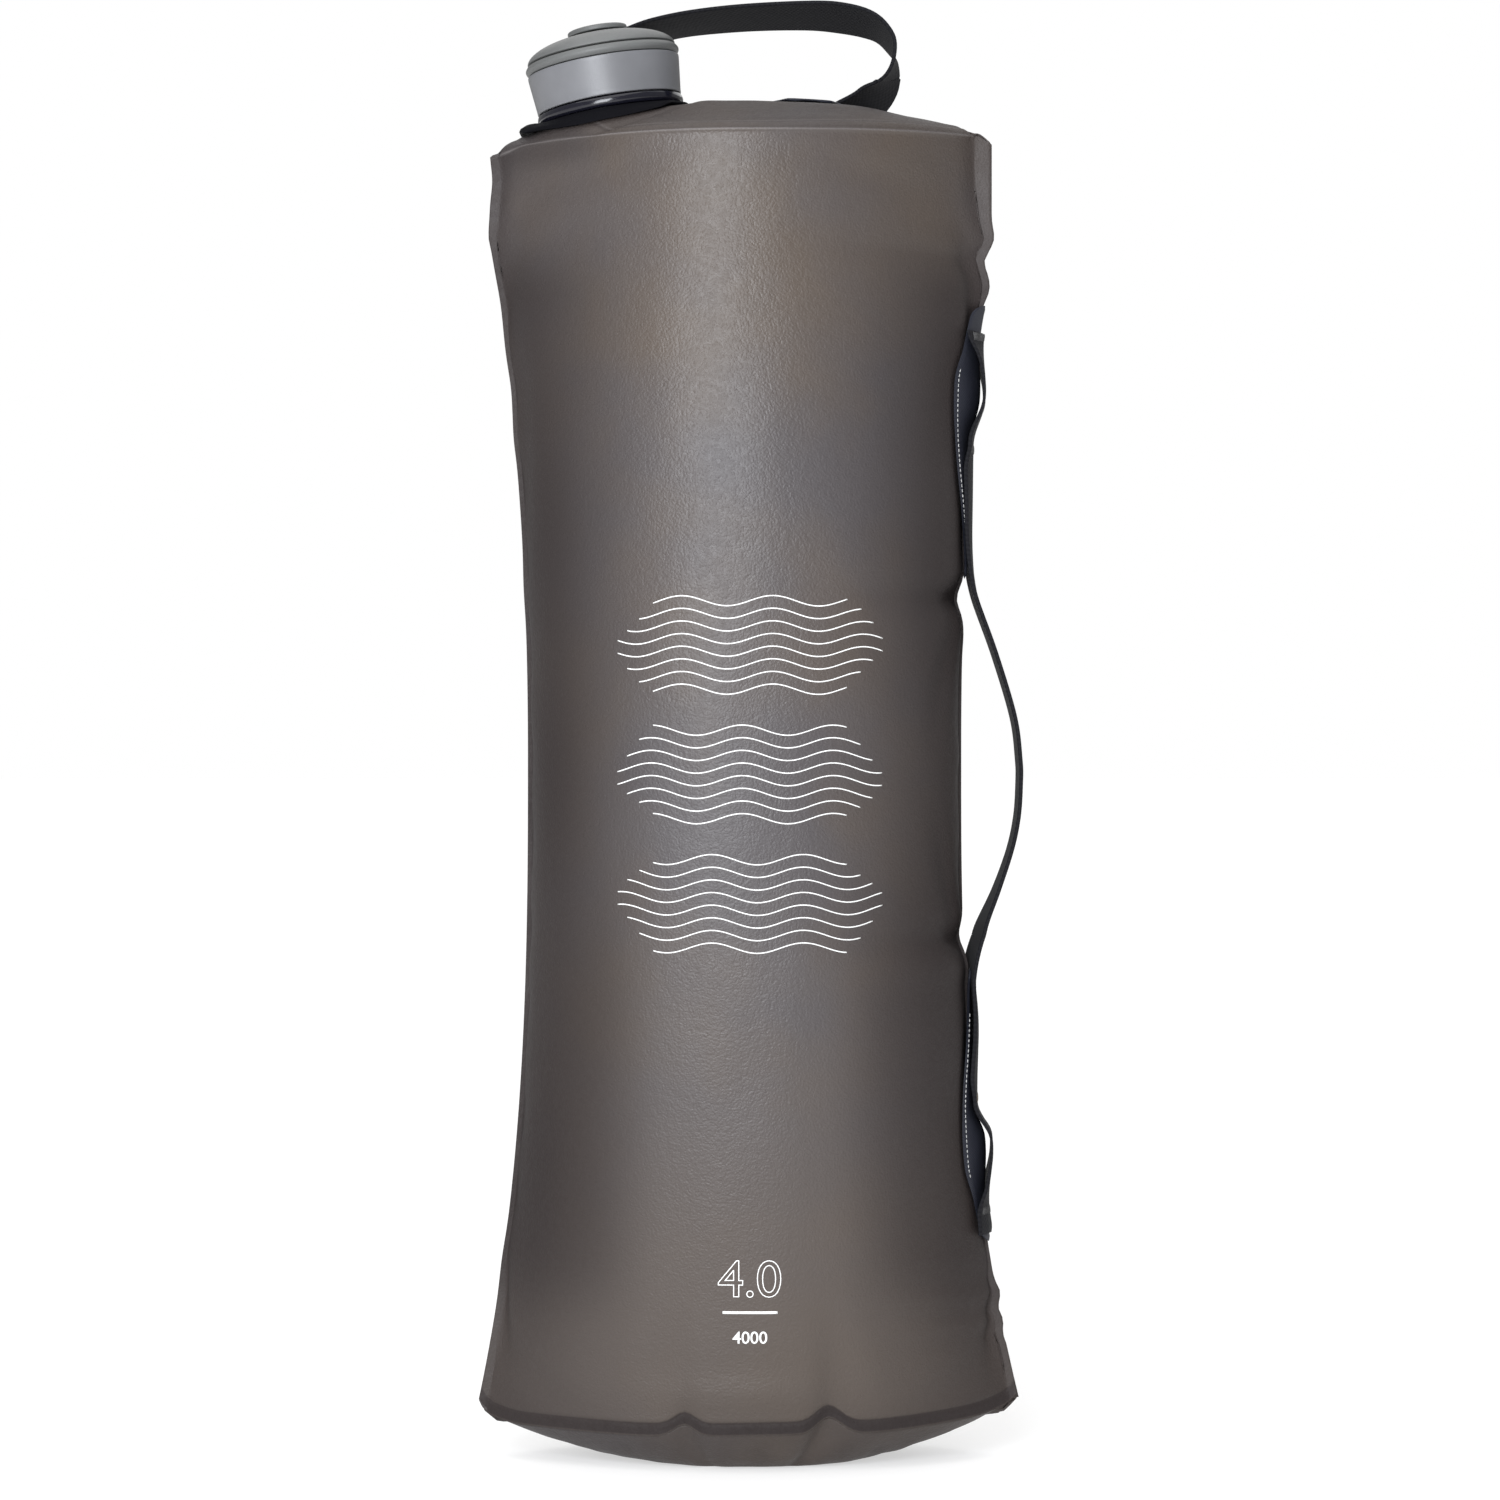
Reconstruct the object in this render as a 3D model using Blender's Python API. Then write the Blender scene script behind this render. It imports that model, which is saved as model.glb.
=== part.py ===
# Collapsible water carrier: a welded film bag that stands on its base, with a threaded neck and
# screw cap on the left of its top, a webbing bail behind them and a webbing handle on its right.
# Metres, +Z up, +X to the right and -Y towards the viewer. The origin is the centre of the flat base.

import math

import bmesh
import bpy
from mathutils import Matrix, Vector

MM = 0.001

# Fits shared by all pieces
SEAM_GAP = 0.3 * MM
THREAD_GAP = 0.4 * MM

# Film bag: heights, half widths to the left and right side seams, and depths
FILM_THICKNESS = 0.6 * MM
TOP_SEAM_HEIGHT = 397.4 * MM
SHOULDER_DROP = 27.4 * MM
SHOULDER_HEIGHT = TOP_SEAM_HEIGHT - SHOULDER_DROP
WAIST_HEIGHT = 212.0 * MM
BASE_SEAM_HEIGHT = 18.0 * MM
BASE_SEAM_SAG = 5.2 * MM
TOP_LEFT = 79.3 * MM
TOP_RIGHT = 73.6 * MM
WAIST_LEFT = 67.6 * MM
WAIST_RIGHT = 64.3 * MM
BASE_LEFT = 82.4 * MM
BASE_RIGHT = 81.8 * MM
TOP_DEPTH = 87.5 * MM
WAIST_DEPTH = 101.0 * MM
BASE_DEPTH = 71.0 * MM
UPPER_FLARE_POWER = 2.2
LOWER_FLARE_POWER = 2.75
ROUND_SECTION_POWER = 0.5
SHARP_SECTION_POWER = 1.0
PANEL_COLUMNS = 18
PANEL_ROWS = 20

# Flat base that the bag stands on
FOOT_WIDTH = 46.0 * MM
FOOT_DEPTH = 40.0 * MM
BASE_CURVE_POWER = 1.6
FOOT_ROWS_SHARE = 0.2
BASE_ROWS = 7

# Domed top panel, pressed down on the left by the neck
DOME_RISE = 14.5 * MM
DOME_POWER = 0.5
NECK_SAG_SHARE = 0.4
NECK_SAG_START_SHARE = 0.15
NECK_SAG_REACH_SHARE = 0.45
TOP_ROWS = 8
COLLAR_COLUMNS = 44

# Neck: an axis that leans to the left, rising from a flat disc of film
NECK_X = -41.9 * MM
NECK_RISE = 8.7 * MM
NECK_Z = TOP_SEAM_HEIGHT + NECK_RISE
NECK_LEAN = math.radians(9.5)
NECK_FLAT_RADIUS = 22.0 * MM
NECK_SHOULDER = 8.0 * MM
NECK_RADIUS = 19.3 * MM
NECK_BORE_RADIUS = 17.2 * MM
NECK_HEIGHT = 15.6 * MM
NECK_FOOT_RADIUS = 21.5 * MM
NECK_FOOT_THICKNESS = 1.2 * MM
FLANGE_RADIUS = 28.5 * MM
FLANGE_THICKNESS = 1.3 * MM
TURN_SEGMENTS = 32

# Thread between the neck and the cap
THREAD_PITCH = 4.0 * MM
THREAD_HEIGHT = 1.1 * MM
THREAD_START = 6.4 * MM
THREAD_LENGTH = 7.2 * MM
THREAD_CREST_SHARE = 0.14
THREAD_FLANK_SHARE = 0.12
THREAD_ROWS = 12

# Strap ring round the neck, with a rectangular loop at its back for the bail
RING_HEIGHT = 2.4 * MM
RING_LIP = 2.4 * MM
RING_WAIST = 1.1 * MM
LOOP_REACH = 29.0 * MM
LOOP_BAR_RADIUS = 1.2 * MM
LOOP_EAR_WIDTH = 2.2 * MM

# Cap: tapered skirt, soft grip ring, soft top cover, seal, port and plug
SKIRT_FOOT_RADIUS = 22.05 * MM
SKIRT_TOP_RADIUS = 23.2 * MM
SKIRT_LIFT = 4.7 * MM
SKIRT_EDGE = 0.35 * MM
RING_SEAT_HEIGHT = 17.2 * MM
GRIP_RADIUS = 23.4 * MM
GRIP_HEIGHT = 3.2 * MM
GRIP_DEPTH = 2.1 * MM
GRIP_ROUND = 0.7 * MM
SEAL_THICKNESS = 1.4 * MM
SEAL_BORE_RADIUS = 15.8 * MM
CAP_PLATE = 2.0 * MM
COVER_RADIUS = 22.7 * MM
COVER_RISE = 7.0 * MM
COVER_WALL = 1.6 * MM
COVER_STEPS = 6
PORT_RADIUS = 6.6 * MM
PORT_BORE_RADIUS = 4.5 * MM
PORT_FLANGE_RADIUS = 9.5 * MM
PORT_FLANGE_THICKNESS = 1.4 * MM
PORT_DROP = 3.0 * MM
PLUG_RADIUS = 9.1 * MM
PLUG_HEAD = 1.6 * MM
PLUG_EDGE = 0.5 * MM
PLUG_STEM_RADIUS = 4.15 * MM
PLUG_STEM_LENGTH = 9.6 * MM
O_RING_WIRE = 0.45 * MM
O_RING_DEPTH = 6.4 * MM
O_RING_STEPS = 6

# Webbing
WEB_WIDTH = 20.0 * MM
WEB_THICKNESS = 1.2 * MM
PATCH_THICKNESS = 0.8 * MM
TACK_WIDTH = 2.6 * MM
TACK_THICKNESS = 0.5 * MM
TACK_MARGIN = 1.6 * MM

# Bail: from the loop of the strap ring over the top panel, and sewn on a patch behind its crest
BAIL_END_X = 28.0 * MM
BAIL_END_Y = 17.0 * MM
BAIL_RISE = 29.7 * MM
BAIL_LEAN = 15.0 * MM
BAIL_FOLD = 10.0 * MM
BAIL_TAIL_LENGTH = 19.0 * MM
BAIL_PATCH_X = 18.0 * MM
BAIL_PATCH_FRONT_Y = 2.2 * MM
BAIL_PATCH_LENGTH = 35.0 * MM
# Share of the span from the loop bar to the sewn end, of the rise, and of the lean to the front
BAIL_ROUTE_SHARES = (
    (-0.014, 0.482, 0.0),
    (0.018, 0.715, 0.0),
    (0.112, 0.905, 0.02),
    (0.278, 0.975, 0.44),
    (0.549, 1.0, 0.67),
    (0.838, 1.0, 0.57),
    (0.999, 0.965, 0.47),
    (1.130, 0.875, 0.41),
    (1.215, 0.715, 0.34),
    (1.237, 0.515, 0.29),
    (1.222, 0.325, 0.19),
    (1.156, 0.199, 0.05),
    (1.079, 0.109, -0.02),
)
# Width direction of the bail at each point of its route: shares along +X, +Y and +Z
BAIL_WIDTH_SHARES = (
    (-0.98, 0.17, 0.0),
    (-0.97, -0.10, -0.10),
    (-0.80, -0.58, 0.0),
    (-0.22, -0.96, 0.15),
    (0.0, -0.97, 0.21),
    (0.0, -0.97, 0.25),
    (0.0, -0.96, 0.28),
    (0.05, -0.96, 0.25),
    (0.17, -0.97, 0.10),
    (0.0, -1.0, 0.02),
    (-0.10, -0.97, 0.16),
    (-0.25, -0.93, 0.27),
    (-0.18, -0.94, 0.28),
)
BAIL_CUT_ROW = 10
BAIL_SPAN_STEPS = 3
BAIL_TAIL_STEPS = 8
LOOP_BEND_STEPS = 8

# Patches, lash loops and handle on the right side seam
PATCH_LENGTH = 83.0 * MM
PATCH_HALF_WIDTH = 13.4 * MM
UPPER_PATCH_DROP = 47.4 * MM
UPPER_PATCH_TIP_Z = TOP_SEAM_HEIGHT - UPPER_PATCH_DROP
LOWER_PATCH_RISE = 47.5 * MM
LOWER_PATCH_TIP_Z = BASE_SEAM_HEIGHT + LOWER_PATCH_RISE
PATCH_ROWS = 12
PATCH_COLUMNS = 8
# Share of the patch's length from its blunt tip, and of its half width
PATCH_OUTLINE_SHARES = (
    (0.0, 0.36),
    (0.05, 0.56),
    (0.16, 0.72),
    (0.25, 0.97),
    (0.45, 1.0),
    (0.62, 0.93),
    (0.80, 0.71),
    (0.92, 0.42),
    (1.0, 0.16),
)
STITCH_INSET = 1.6 * MM
STITCH_WIDTH = 0.7 * MM
STITCH_THICKNESS = 0.35 * MM
STITCH_START_SHARE = 0.22
STITCH_END_SHARE = 0.60
LASH_START_SHARE = 0.1
LASH_END_SHARE = 0.51
UPPER_LASH_BOW = 2.4 * MM
LOWER_LASH_BOW = 3.4 * MM
UPPER_LASH_PEAK_SHARE = 0.6
LOWER_LASH_PEAK_SHARE = 0.68
LASH_STEPS = 26
HANDLE_END_GAP = 9.25 * MM
HANDLE_TOP_Z = UPPER_PATCH_TIP_Z - PATCH_LENGTH - HANDLE_END_GAP
HANDLE_BOTTOM_Z = LOWER_PATCH_TIP_Z + PATCH_LENGTH + HANDLE_END_GAP
HANDLE_STAND_OFF = 4.6 * MM
# Share of the handle's span, then shares of the way down the handle and of its bow
HANDLE_BOW_SHARE = 0.1275
HANDLE_BOW_SHARES = (
    (0.0, 0.0),
    (0.145, 0.45),
    (0.33, 0.88),
    (0.46, 1.0),
    (0.53, 1.0),
    (0.63, 0.95),
    (0.73, 0.74),
    (0.85, 0.36),
    (0.95, 0.09),
    (1.0, 0.0),
)
HANDLE_STEPS = 26

FILM_GREY = (0.17, 0.145, 0.13)
NECK_BLACK = (0.012, 0.012, 0.016)
FLANGE_BLACK = (0.016, 0.016, 0.018)
CAP_GREY = (0.27, 0.27, 0.28)
SOFT_GREY = (0.22, 0.225, 0.225)
RUBBER_GREY = (0.08, 0.08, 0.085)
WEB_BLACK = (0.022, 0.022, 0.028)
PATCH_NAVY = (0.020, 0.023, 0.036)
THREAD_WHITE = (0.62, 0.62, 0.62)


# Scene helpers

def clear_scene():
    for item in list(bpy.data.objects):
        bpy.data.objects.remove(item, do_unlink=True)


def make_material(name, colour, roughness, metallic=0.0):
    material = bpy.data.materials.new(name)
    material.use_nodes = True
    shader = material.node_tree.nodes["Principled BSDF"]
    shader.inputs["Base Color"].default_value = (*colour, 1.0)
    shader.inputs["Roughness"].default_value = roughness
    shader.inputs["Metallic"].default_value = metallic
    return material


def add_object(name, bm, material, parent=None, origin=Vector()):
    # The mesh is given in its parent's axes. The object's origin goes to the point named.
    bmesh.ops.translate(bm, vec=-origin, verts=bm.verts)
    mesh = bpy.data.meshes.new(name)
    bm.to_mesh(mesh)
    bm.free()
    mesh.materials.append(material)
    mesh.shade_smooth()
    mesh.set_sharp_from_angle(angle=math.radians(35))
    item = bpy.data.objects.new(name, mesh)
    bpy.context.collection.objects.link(item)
    item.parent = parent
    item.location = origin
    return item


def smooth_track(points, steps):
    # Catmull-Rom curve through the points, sampled evenly from point to point.
    ends = [points[0] * 2 - points[1], *points, points[-1] * 2 - points[-2]]
    track = []
    for step in range(steps + 1):
        place = step / steps * (len(points) - 1)
        index = min(int(place), len(points) - 2)
        t = place - index
        a, b, c, d = ends[index:index + 4]
        track.append((b * 2 + (c - a) * t + (a * 2 - b * 5 + c * 4 - d) * t ** 2
                      + (b * 3 - a - c * 3 + d) * t ** 3) / 2)
    return track


def share_at(table, share):
    # Straight-line reading of a table of shares.
    for (low, first), (high, second) in zip(table, table[1:]):
        if share <= high:
            return first + (second - first) * (share - low) / (high - low)
    return table[-1][1]


def ease(share):
    share = min(max(share, 0.0), 1.0)
    return share * share * (3 - 2 * share)


def face_outwards(bm):
    bmesh.ops.recalc_face_normals(bm, faces=bm.faces)
    if bm.calc_volume(signed=True) < 0:
        bmesh.ops.reverse_faces(bm, faces=bm.faces)


def sheet_solid(columns, rows, place):
    # A sheet with a wall: place(u, v, depth) gives the near skin at depth 0 and the far one at 1.
    bm = bmesh.new()
    across = bm.verts.layers.float.new("across")
    along = bm.verts.layers.float.new("along")
    bmesh.ops.create_grid(bm, x_segments=columns, y_segments=rows, size=0.5)
    for vert in bm.verts:
        vert[across] = vert.co.x + 0.5
        vert[along] = vert.co.y + 0.5
        vert.co = place(vert[across], vert[along], 0.0)
    bmesh.ops.remove_doubles(bm, verts=bm.verts, dist=SEAM_GAP / 100)
    near = set(bm.verts)
    bmesh.ops.solidify(bm, geom=bm.faces[:], thickness=FILM_THICKNESS)
    for vert in bm.verts:
        if vert not in near:
            vert.co = place(vert[across], vert[along], 1.0)
    face_outwards(bm)
    return bm


def turned_solid(profile, segments=TURN_SEGMENTS):
    # Spins a closed outline of (radius, height) points about the Z axis.
    bm = bmesh.new()
    ring = [bm.verts.new((radius, 0.0, height)) for radius, height in profile]
    edges = [bm.edges.new(pair) for pair in zip(ring, ring[1:] + ring[:1])]
    bmesh.ops.spin(bm, geom=ring + edges, cent=(0, 0, 0), axis=(0, 0, 1), angle=math.tau,
                   steps=segments, use_merge=True)
    bmesh.ops.remove_doubles(bm, verts=bm.verts, dist=SEAM_GAP / 100)
    face_outwards(bm)
    return bm


def ribbon_frames(track, widths):
    # Point, width direction and normal of a ribbon at each point of its middle line.
    frames = []
    for index, point in enumerate(track):
        forward = (track[min(index + 1, len(track) - 1)] - track[max(index - 1, 0)]).normalized()
        side = widths[index] - forward * widths[index].dot(forward)
        side.normalize()
        frames.append((point, side, forward.cross(side)))
    return frames


def ribbon_solid(track, widths, width, thickness):
    # Flat webbing along a track: the track runs down the middle of its thickness.
    frames = ribbon_frames(track, widths)

    def place(u, v, depth):
        point, side, normal = frames[round(v * (len(track) - 1))]
        return point + side * width * (u - 0.5) + normal * thickness * (0.5 - depth)

    return sheet_solid(1, len(track) - 1, place)


def join_with(item, other):
    # Boolean union of another object into this one.
    union = item.modifiers.new("join", "BOOLEAN")
    union.operation = "UNION"
    union.solver = "EXACT"
    union.object = other
    other.hide_render = True
    other.display_type = "WIRE"


# Shape of the film bag

def flare(height):
    # 0 at the waist, 1 at the shoulder and at the corners of the base seam.
    if height >= WAIST_HEIGHT:
        share = (height - WAIST_HEIGHT) / (SHOULDER_HEIGHT - WAIST_HEIGHT)
        return min(share, 1.0) ** UPPER_FLARE_POWER
    return ((WAIST_HEIGHT - height) / (WAIST_HEIGHT - BASE_SEAM_HEIGHT)) ** LOWER_FLARE_POWER


def section(height):
    # Middle, half width, half depth and section power of the bag at a height.
    upper = height >= WAIST_HEIGHT
    share = flare(height)
    left = WAIST_LEFT + ((TOP_LEFT if upper else BASE_LEFT) - WAIST_LEFT) * share
    right = WAIST_RIGHT + ((TOP_RIGHT if upper else BASE_RIGHT) - WAIST_RIGHT) * share
    depth = WAIST_DEPTH + ((TOP_DEPTH if upper else BASE_DEPTH) - WAIST_DEPTH) * share
    power = ROUND_SECTION_POWER + (SHARP_SECTION_POWER - ROUND_SECTION_POWER) * min(share, 1.0)
    return (right - left) / 2, (right + left) / 2, depth / 2, power


def film_xy(height, turn, inset):
    # Front half of the section, from the left seam at -90 degrees to the right seam at 90.
    middle, half_width, half_depth, power = section(height)
    x = middle + (half_width - inset * math.sqrt(2)) * math.sin(turn)
    bulge = max(math.cos(turn), 0.0) ** (2 * power)
    return x, -SEAM_GAP / 2 - (half_depth - inset) * bulge


def side_x(height, y, outset):
    # How far to the right the bag reaches at a height and a distance from the side seam.
    middle, half_width, half_depth, power = section(height)
    reach = max(abs(y) - SEAM_GAP / 2, 0.0) / (half_depth + outset)
    return middle + (half_width + outset) * math.sqrt(1 - reach ** (1 / power))


def base_seam_z(turn):
    return BASE_SEAM_HEIGHT - BASE_SEAM_SAG * math.cos(turn) ** 2


def dome_z(x, y):
    # Upper skin of the top panel. A disc round the neck is flat and square to the neck's axis.
    middle, half_width, half_depth, _ = section(TOP_SEAM_HEIGHT)
    t = min(max((x - middle) / half_width, -1.0), 1.0)
    edge = max(half_depth * (1 - t * t), FILM_THICKNESS)
    crest = DOME_RISE * (1 - t * t) ** DOME_POWER
    crest *= 1 - NECK_SAG_SHARE * ease((-t - NECK_SAG_START_SHARE) / NECK_SAG_REACH_SHARE)
    seam = TOP_SEAM_HEIGHT + SEAM_GAP / 2 + FILM_THICKNESS
    dome = seam + crest * max(1 - (y / edge) ** 2, 0.0)
    disc = NECK_Z + (x - NECK_X) * math.tan(NECK_LEAN)
    distance = math.hypot((x - NECK_X) / math.cos(NECK_LEAN), y)
    return disc + (dome - disc) * ease((distance - NECK_FLAT_RADIUS) / NECK_SHOULDER)


def rim_reach(angle):
    # Distance from the neck's axis to the top seam, in plan, found by halving.
    middle, half_width, half_depth, _ = section(TOP_SEAM_HEIGHT)
    near, far = 0.0, half_width * 2
    while far - near > SEAM_GAP / 1000:
        distance = (near + far) / 2
        t = (NECK_X + distance * math.cos(angle) - middle) / half_width
        inside = abs(t) < 1 and distance * abs(math.sin(angle)) < half_depth * (1 - t * t)
        near, far = (distance, far) if inside else (near, distance)
    return near


def neck_spot(angle, radius):
    # Point of the top panel's upper skin at an angle and a radius about the neck's axis.
    x = NECK_X + radius * math.cos(angle) * math.cos(NECK_LEAN)
    y = radius * math.sin(angle)
    return Vector((x, y, dome_z(x, y)))


def collar_radii():
    # Rows that the top panel shares with the flange welded on it.
    bore = NECK_RADIUS + SEAM_GAP
    middle = (NECK_FLAT_RADIUS + FLANGE_RADIUS) / 2
    return [bore, NECK_FLAT_RADIUS, middle, FLANGE_RADIUS]


def build_bag(film):
    def front(u, v, depth):
        turn = (u - 0.5) * math.pi
        low = base_seam_z(turn) + SEAM_GAP / 2
        high = TOP_SEAM_HEIGHT - SEAM_GAP / 2
        height = low + (high - low) * v
        return Vector((*film_xy(height, turn, depth * FILM_THICKNESS), height))

    def back(u, v, depth):
        return front(u, v, depth) * Vector((1, -1, 1))

    def outline(u, height):
        turn = (u * 2 - 0.5) * math.pi if u <= 0.5 else (1.5 - u * 2) * math.pi
        x, y = film_xy(height, turn, 0.0)
        return turn, Vector((x, y if u <= 0.5 else -y))

    collar = collar_radii()

    def top(u, v, depth):
        angle = u * math.tau
        row = round(v * TOP_ROWS)
        if row < len(collar):
            spot = neck_spot(angle, collar[row])
        else:
            share = (row + 1 - len(collar)) / (TOP_ROWS + 1 - len(collar))
            start = neck_spot(angle, collar[-1])
            reach = rim_reach(angle)
            rim = Vector((NECK_X + reach * math.cos(angle), reach * math.sin(angle), 0.0))
            spot = start.lerp(rim, share)
            spot.z = dome_z(spot.x, spot.y)
        return spot - Vector((0, 0, depth * FILM_THICKNESS))

    def base(u, v, depth):
        height = base_seam_z(outline(u, BASE_SEAM_HEIGHT)[0])
        turn, rim = outline(u, height)
        foot = Vector((math.sin(turn) * FOOT_WIDTH, -math.cos(turn) * FOOT_DEPTH)) / 2
        foot.y = foot.y if u <= 0.5 else -foot.y
        if v <= FOOT_ROWS_SHARE:
            return Vector((*(foot * v / FOOT_ROWS_SHARE), depth * FILM_THICKNESS))
        share = (v - FOOT_ROWS_SHARE) / (1 - FOOT_ROWS_SHARE)
        rise = height - SEAM_GAP / 2 - FILM_THICKNESS
        spot = foot.lerp(rim, share)
        return Vector((*spot, rise * share ** BASE_CURVE_POWER + depth * FILM_THICKNESS))

    add_object("front_panel", sheet_solid(PANEL_COLUMNS, PANEL_ROWS, front), film)
    add_object("back_panel", sheet_solid(PANEL_COLUMNS, PANEL_ROWS, back), film)
    add_object("top_panel", sheet_solid(COLLAR_COLUMNS, TOP_ROWS, top), film)
    add_object("bottom_panel", sheet_solid(PANEL_COLUMNS * 2, BASE_ROWS, base), film)


# Neck and cap, modelled on the neck's own axis with the film's upper skin at height 0

def tooth(offset):
    # Height of the thread's ridge, 0 to 1, at an offset from its middle in turns.
    offset = abs(offset - round(offset))
    return min(max((THREAD_CREST_SHARE + THREAD_FLANK_SHARE - offset) / THREAD_FLANK_SHARE, 0), 1)


def cut_thread(bm, radius, height, low, high, phase):
    # Moves the fine rows of a turned wall out, or in with a negative height, along a helix.
    for vert in bm.verts:
        distance = math.hypot(vert.co.x, vert.co.y)
        if abs(distance - radius) > SEAM_GAP / 10 or not low < vert.co.z < high:
            continue
        angle = math.atan2(vert.co.y, vert.co.x) / math.tau
        ridge = tooth((vert.co.z - low) / THREAD_PITCH - angle - phase)
        fade = min(vert.co.z - low, high - vert.co.z) / THREAD_PITCH * 4
        scale = (radius + height * ridge * min(fade, 1.0)) / distance
        vert.co.x *= scale
        vert.co.y *= scale


def thread_rows(radius, low, high):
    step = (high - low) / THREAD_ROWS
    return [(radius, low + step * index) for index in range(THREAD_ROWS + 1)]


def build_neck(axis, neck_black, flange_black):
    foot_top = -FILM_THICKNESS - SEAM_GAP
    foot_bottom = foot_top - NECK_FOOT_THICKNESS
    low, high = THREAD_START, THREAD_START + THREAD_LENGTH
    wall = [(NECK_BORE_RADIUS, NECK_HEIGHT), (NECK_BORE_RADIUS, foot_bottom),
            (NECK_FOOT_RADIUS, foot_bottom), (NECK_FOOT_RADIUS, foot_top), (NECK_RADIUS, foot_top)]
    bm = turned_solid(wall + thread_rows(NECK_RADIUS, low, high) + [(NECK_RADIUS, NECK_HEIGHT)])
    cut_thread(bm, NECK_RADIUS, THREAD_HEIGHT, low, high, 0.0)
    add_object("neck_spout", bm, neck_black, axis)

    to_axis = axis.matrix_world.inverted()
    collar = collar_radii()

    def flange(u, v, depth):
        spot = neck_spot(u * math.tau, collar[round(v * (len(collar) - 1))])
        return to_axis @ spot + Vector((0, 0, SEAM_GAP + FLANGE_THICKNESS * (1 - depth)))

    bm = sheet_solid(COLLAR_COLUMNS, len(collar) - 1, flange)
    add_object("neck_flange", bm, flange_black, axis)


def ring_levels():
    low = SEAM_GAP * 2 + FLANGE_THICKNESS
    return low, low + RING_HEIGHT


def patch_top_z(x, y):
    return dome_z(x, y) + SEAM_GAP + PATCH_THICKNESS


def bail_ends(axis):
    # The middle of the loop's bar, and the point where the bail meets its patch.
    low, high = ring_levels()
    bar = axis.matrix_world @ Vector((0.0, LOOP_REACH, (low + high) / 2))
    height = patch_top_z(BAIL_END_X, BAIL_END_Y) + SEAM_GAP + WEB_THICKNESS / 2
    return bar, Vector((BAIL_END_X, BAIL_END_Y, height))


def bail_spot(bar, sewn, row):
    share, rise, lean = BAIL_ROUTE_SHARES[row]
    return bar + (sewn - bar) * share + Vector((0, -BAIL_LEAN * lean, BAIL_RISE * rise))


def bail_hinge(bar, sewn):
    # The bail swings about the line from the loop's bar to the point where it is cut.
    return (bail_spot(bar, sewn, BAIL_CUT_ROW) - bar).normalized()


def build_strap_ring(axis, neck_black):
    low, high = ring_levels()
    inner = NECK_RADIUS + SEAM_GAP
    middle = (low + high) / 2
    profile = [(inner, high), (inner, low), (inner + RING_LIP * 0.8, low),
               (inner + RING_WAIST, middle), (inner + RING_LIP, high - RING_HEIGHT / 4),
               (inner + RING_LIP, high - RING_HEIGHT / 8), (inner + RING_LIP * 0.9, high)]
    ring = add_object("strap_ring", turned_solid(profile), neck_black, axis)

    bar, sewn = bail_ends(axis)
    along = bail_hinge(bar, sewn)
    half = WEB_WIDTH / 2 + SEAM_GAP * 4 + LOOP_EAR_WIDTH / 2
    to_axis = axis.matrix_world.inverted()
    ends = [to_axis @ (bar + along * half * side) for side in (-1, 1)]
    bar_bm = bmesh.new()
    bmesh.ops.create_cone(bar_bm, cap_ends=True, segments=TURN_SEGMENTS // 2, depth=half * 2,
                          radius1=LOOP_BAR_RADIUS, radius2=LOOP_BAR_RADIUS)
    facing = (ends[1] - ends[0]).to_track_quat("Z", "Y").to_matrix().to_4x4()
    bmesh.ops.transform(bar_bm, matrix=Matrix.Translation((ends[0] + ends[1]) / 2) @ facing,
                        verts=bar_bm.verts)
    join_with(ring, add_object("loop_bar_guide", bar_bm, neck_black, axis))
    root_radius = inner + LOOP_BAR_RADIUS * 1.5
    for side, end in zip((-1, 1), ends):
        root = Vector((end.x, math.sqrt(max(root_radius ** 2 - end.x ** 2, 0.0)), middle))
        ear = bmesh.new()
        for spot, thick in ((root, RING_HEIGHT * 0.8), (end, LOOP_BAR_RADIUS * 2)):
            reach = Vector((LOOP_EAR_WIDTH, LOOP_BAR_RADIUS * 2, thick)) / 2
            for x in (-1, 1):
                for y in (-1, 1):
                    for z in (-1, 1):
                        ear.verts.new(spot + reach * Vector((x, y, z)))
        bmesh.ops.convex_hull(ear, input=ear.verts)
        face_outwards(ear)
        name = "loop_ear_guide_left" if side < 0 else "loop_ear_guide_right"
        join_with(ring, add_object(name, ear, neck_black, axis))


def cap_levels():
    seal_low = NECK_HEIGHT + SEAM_GAP
    seal_high = seal_low + SEAL_THICKNESS
    plate_low = seal_high + SEAM_GAP
    plate_high = plate_low + CAP_PLATE
    return seal_low, seal_high, plate_low, plate_high


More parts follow.
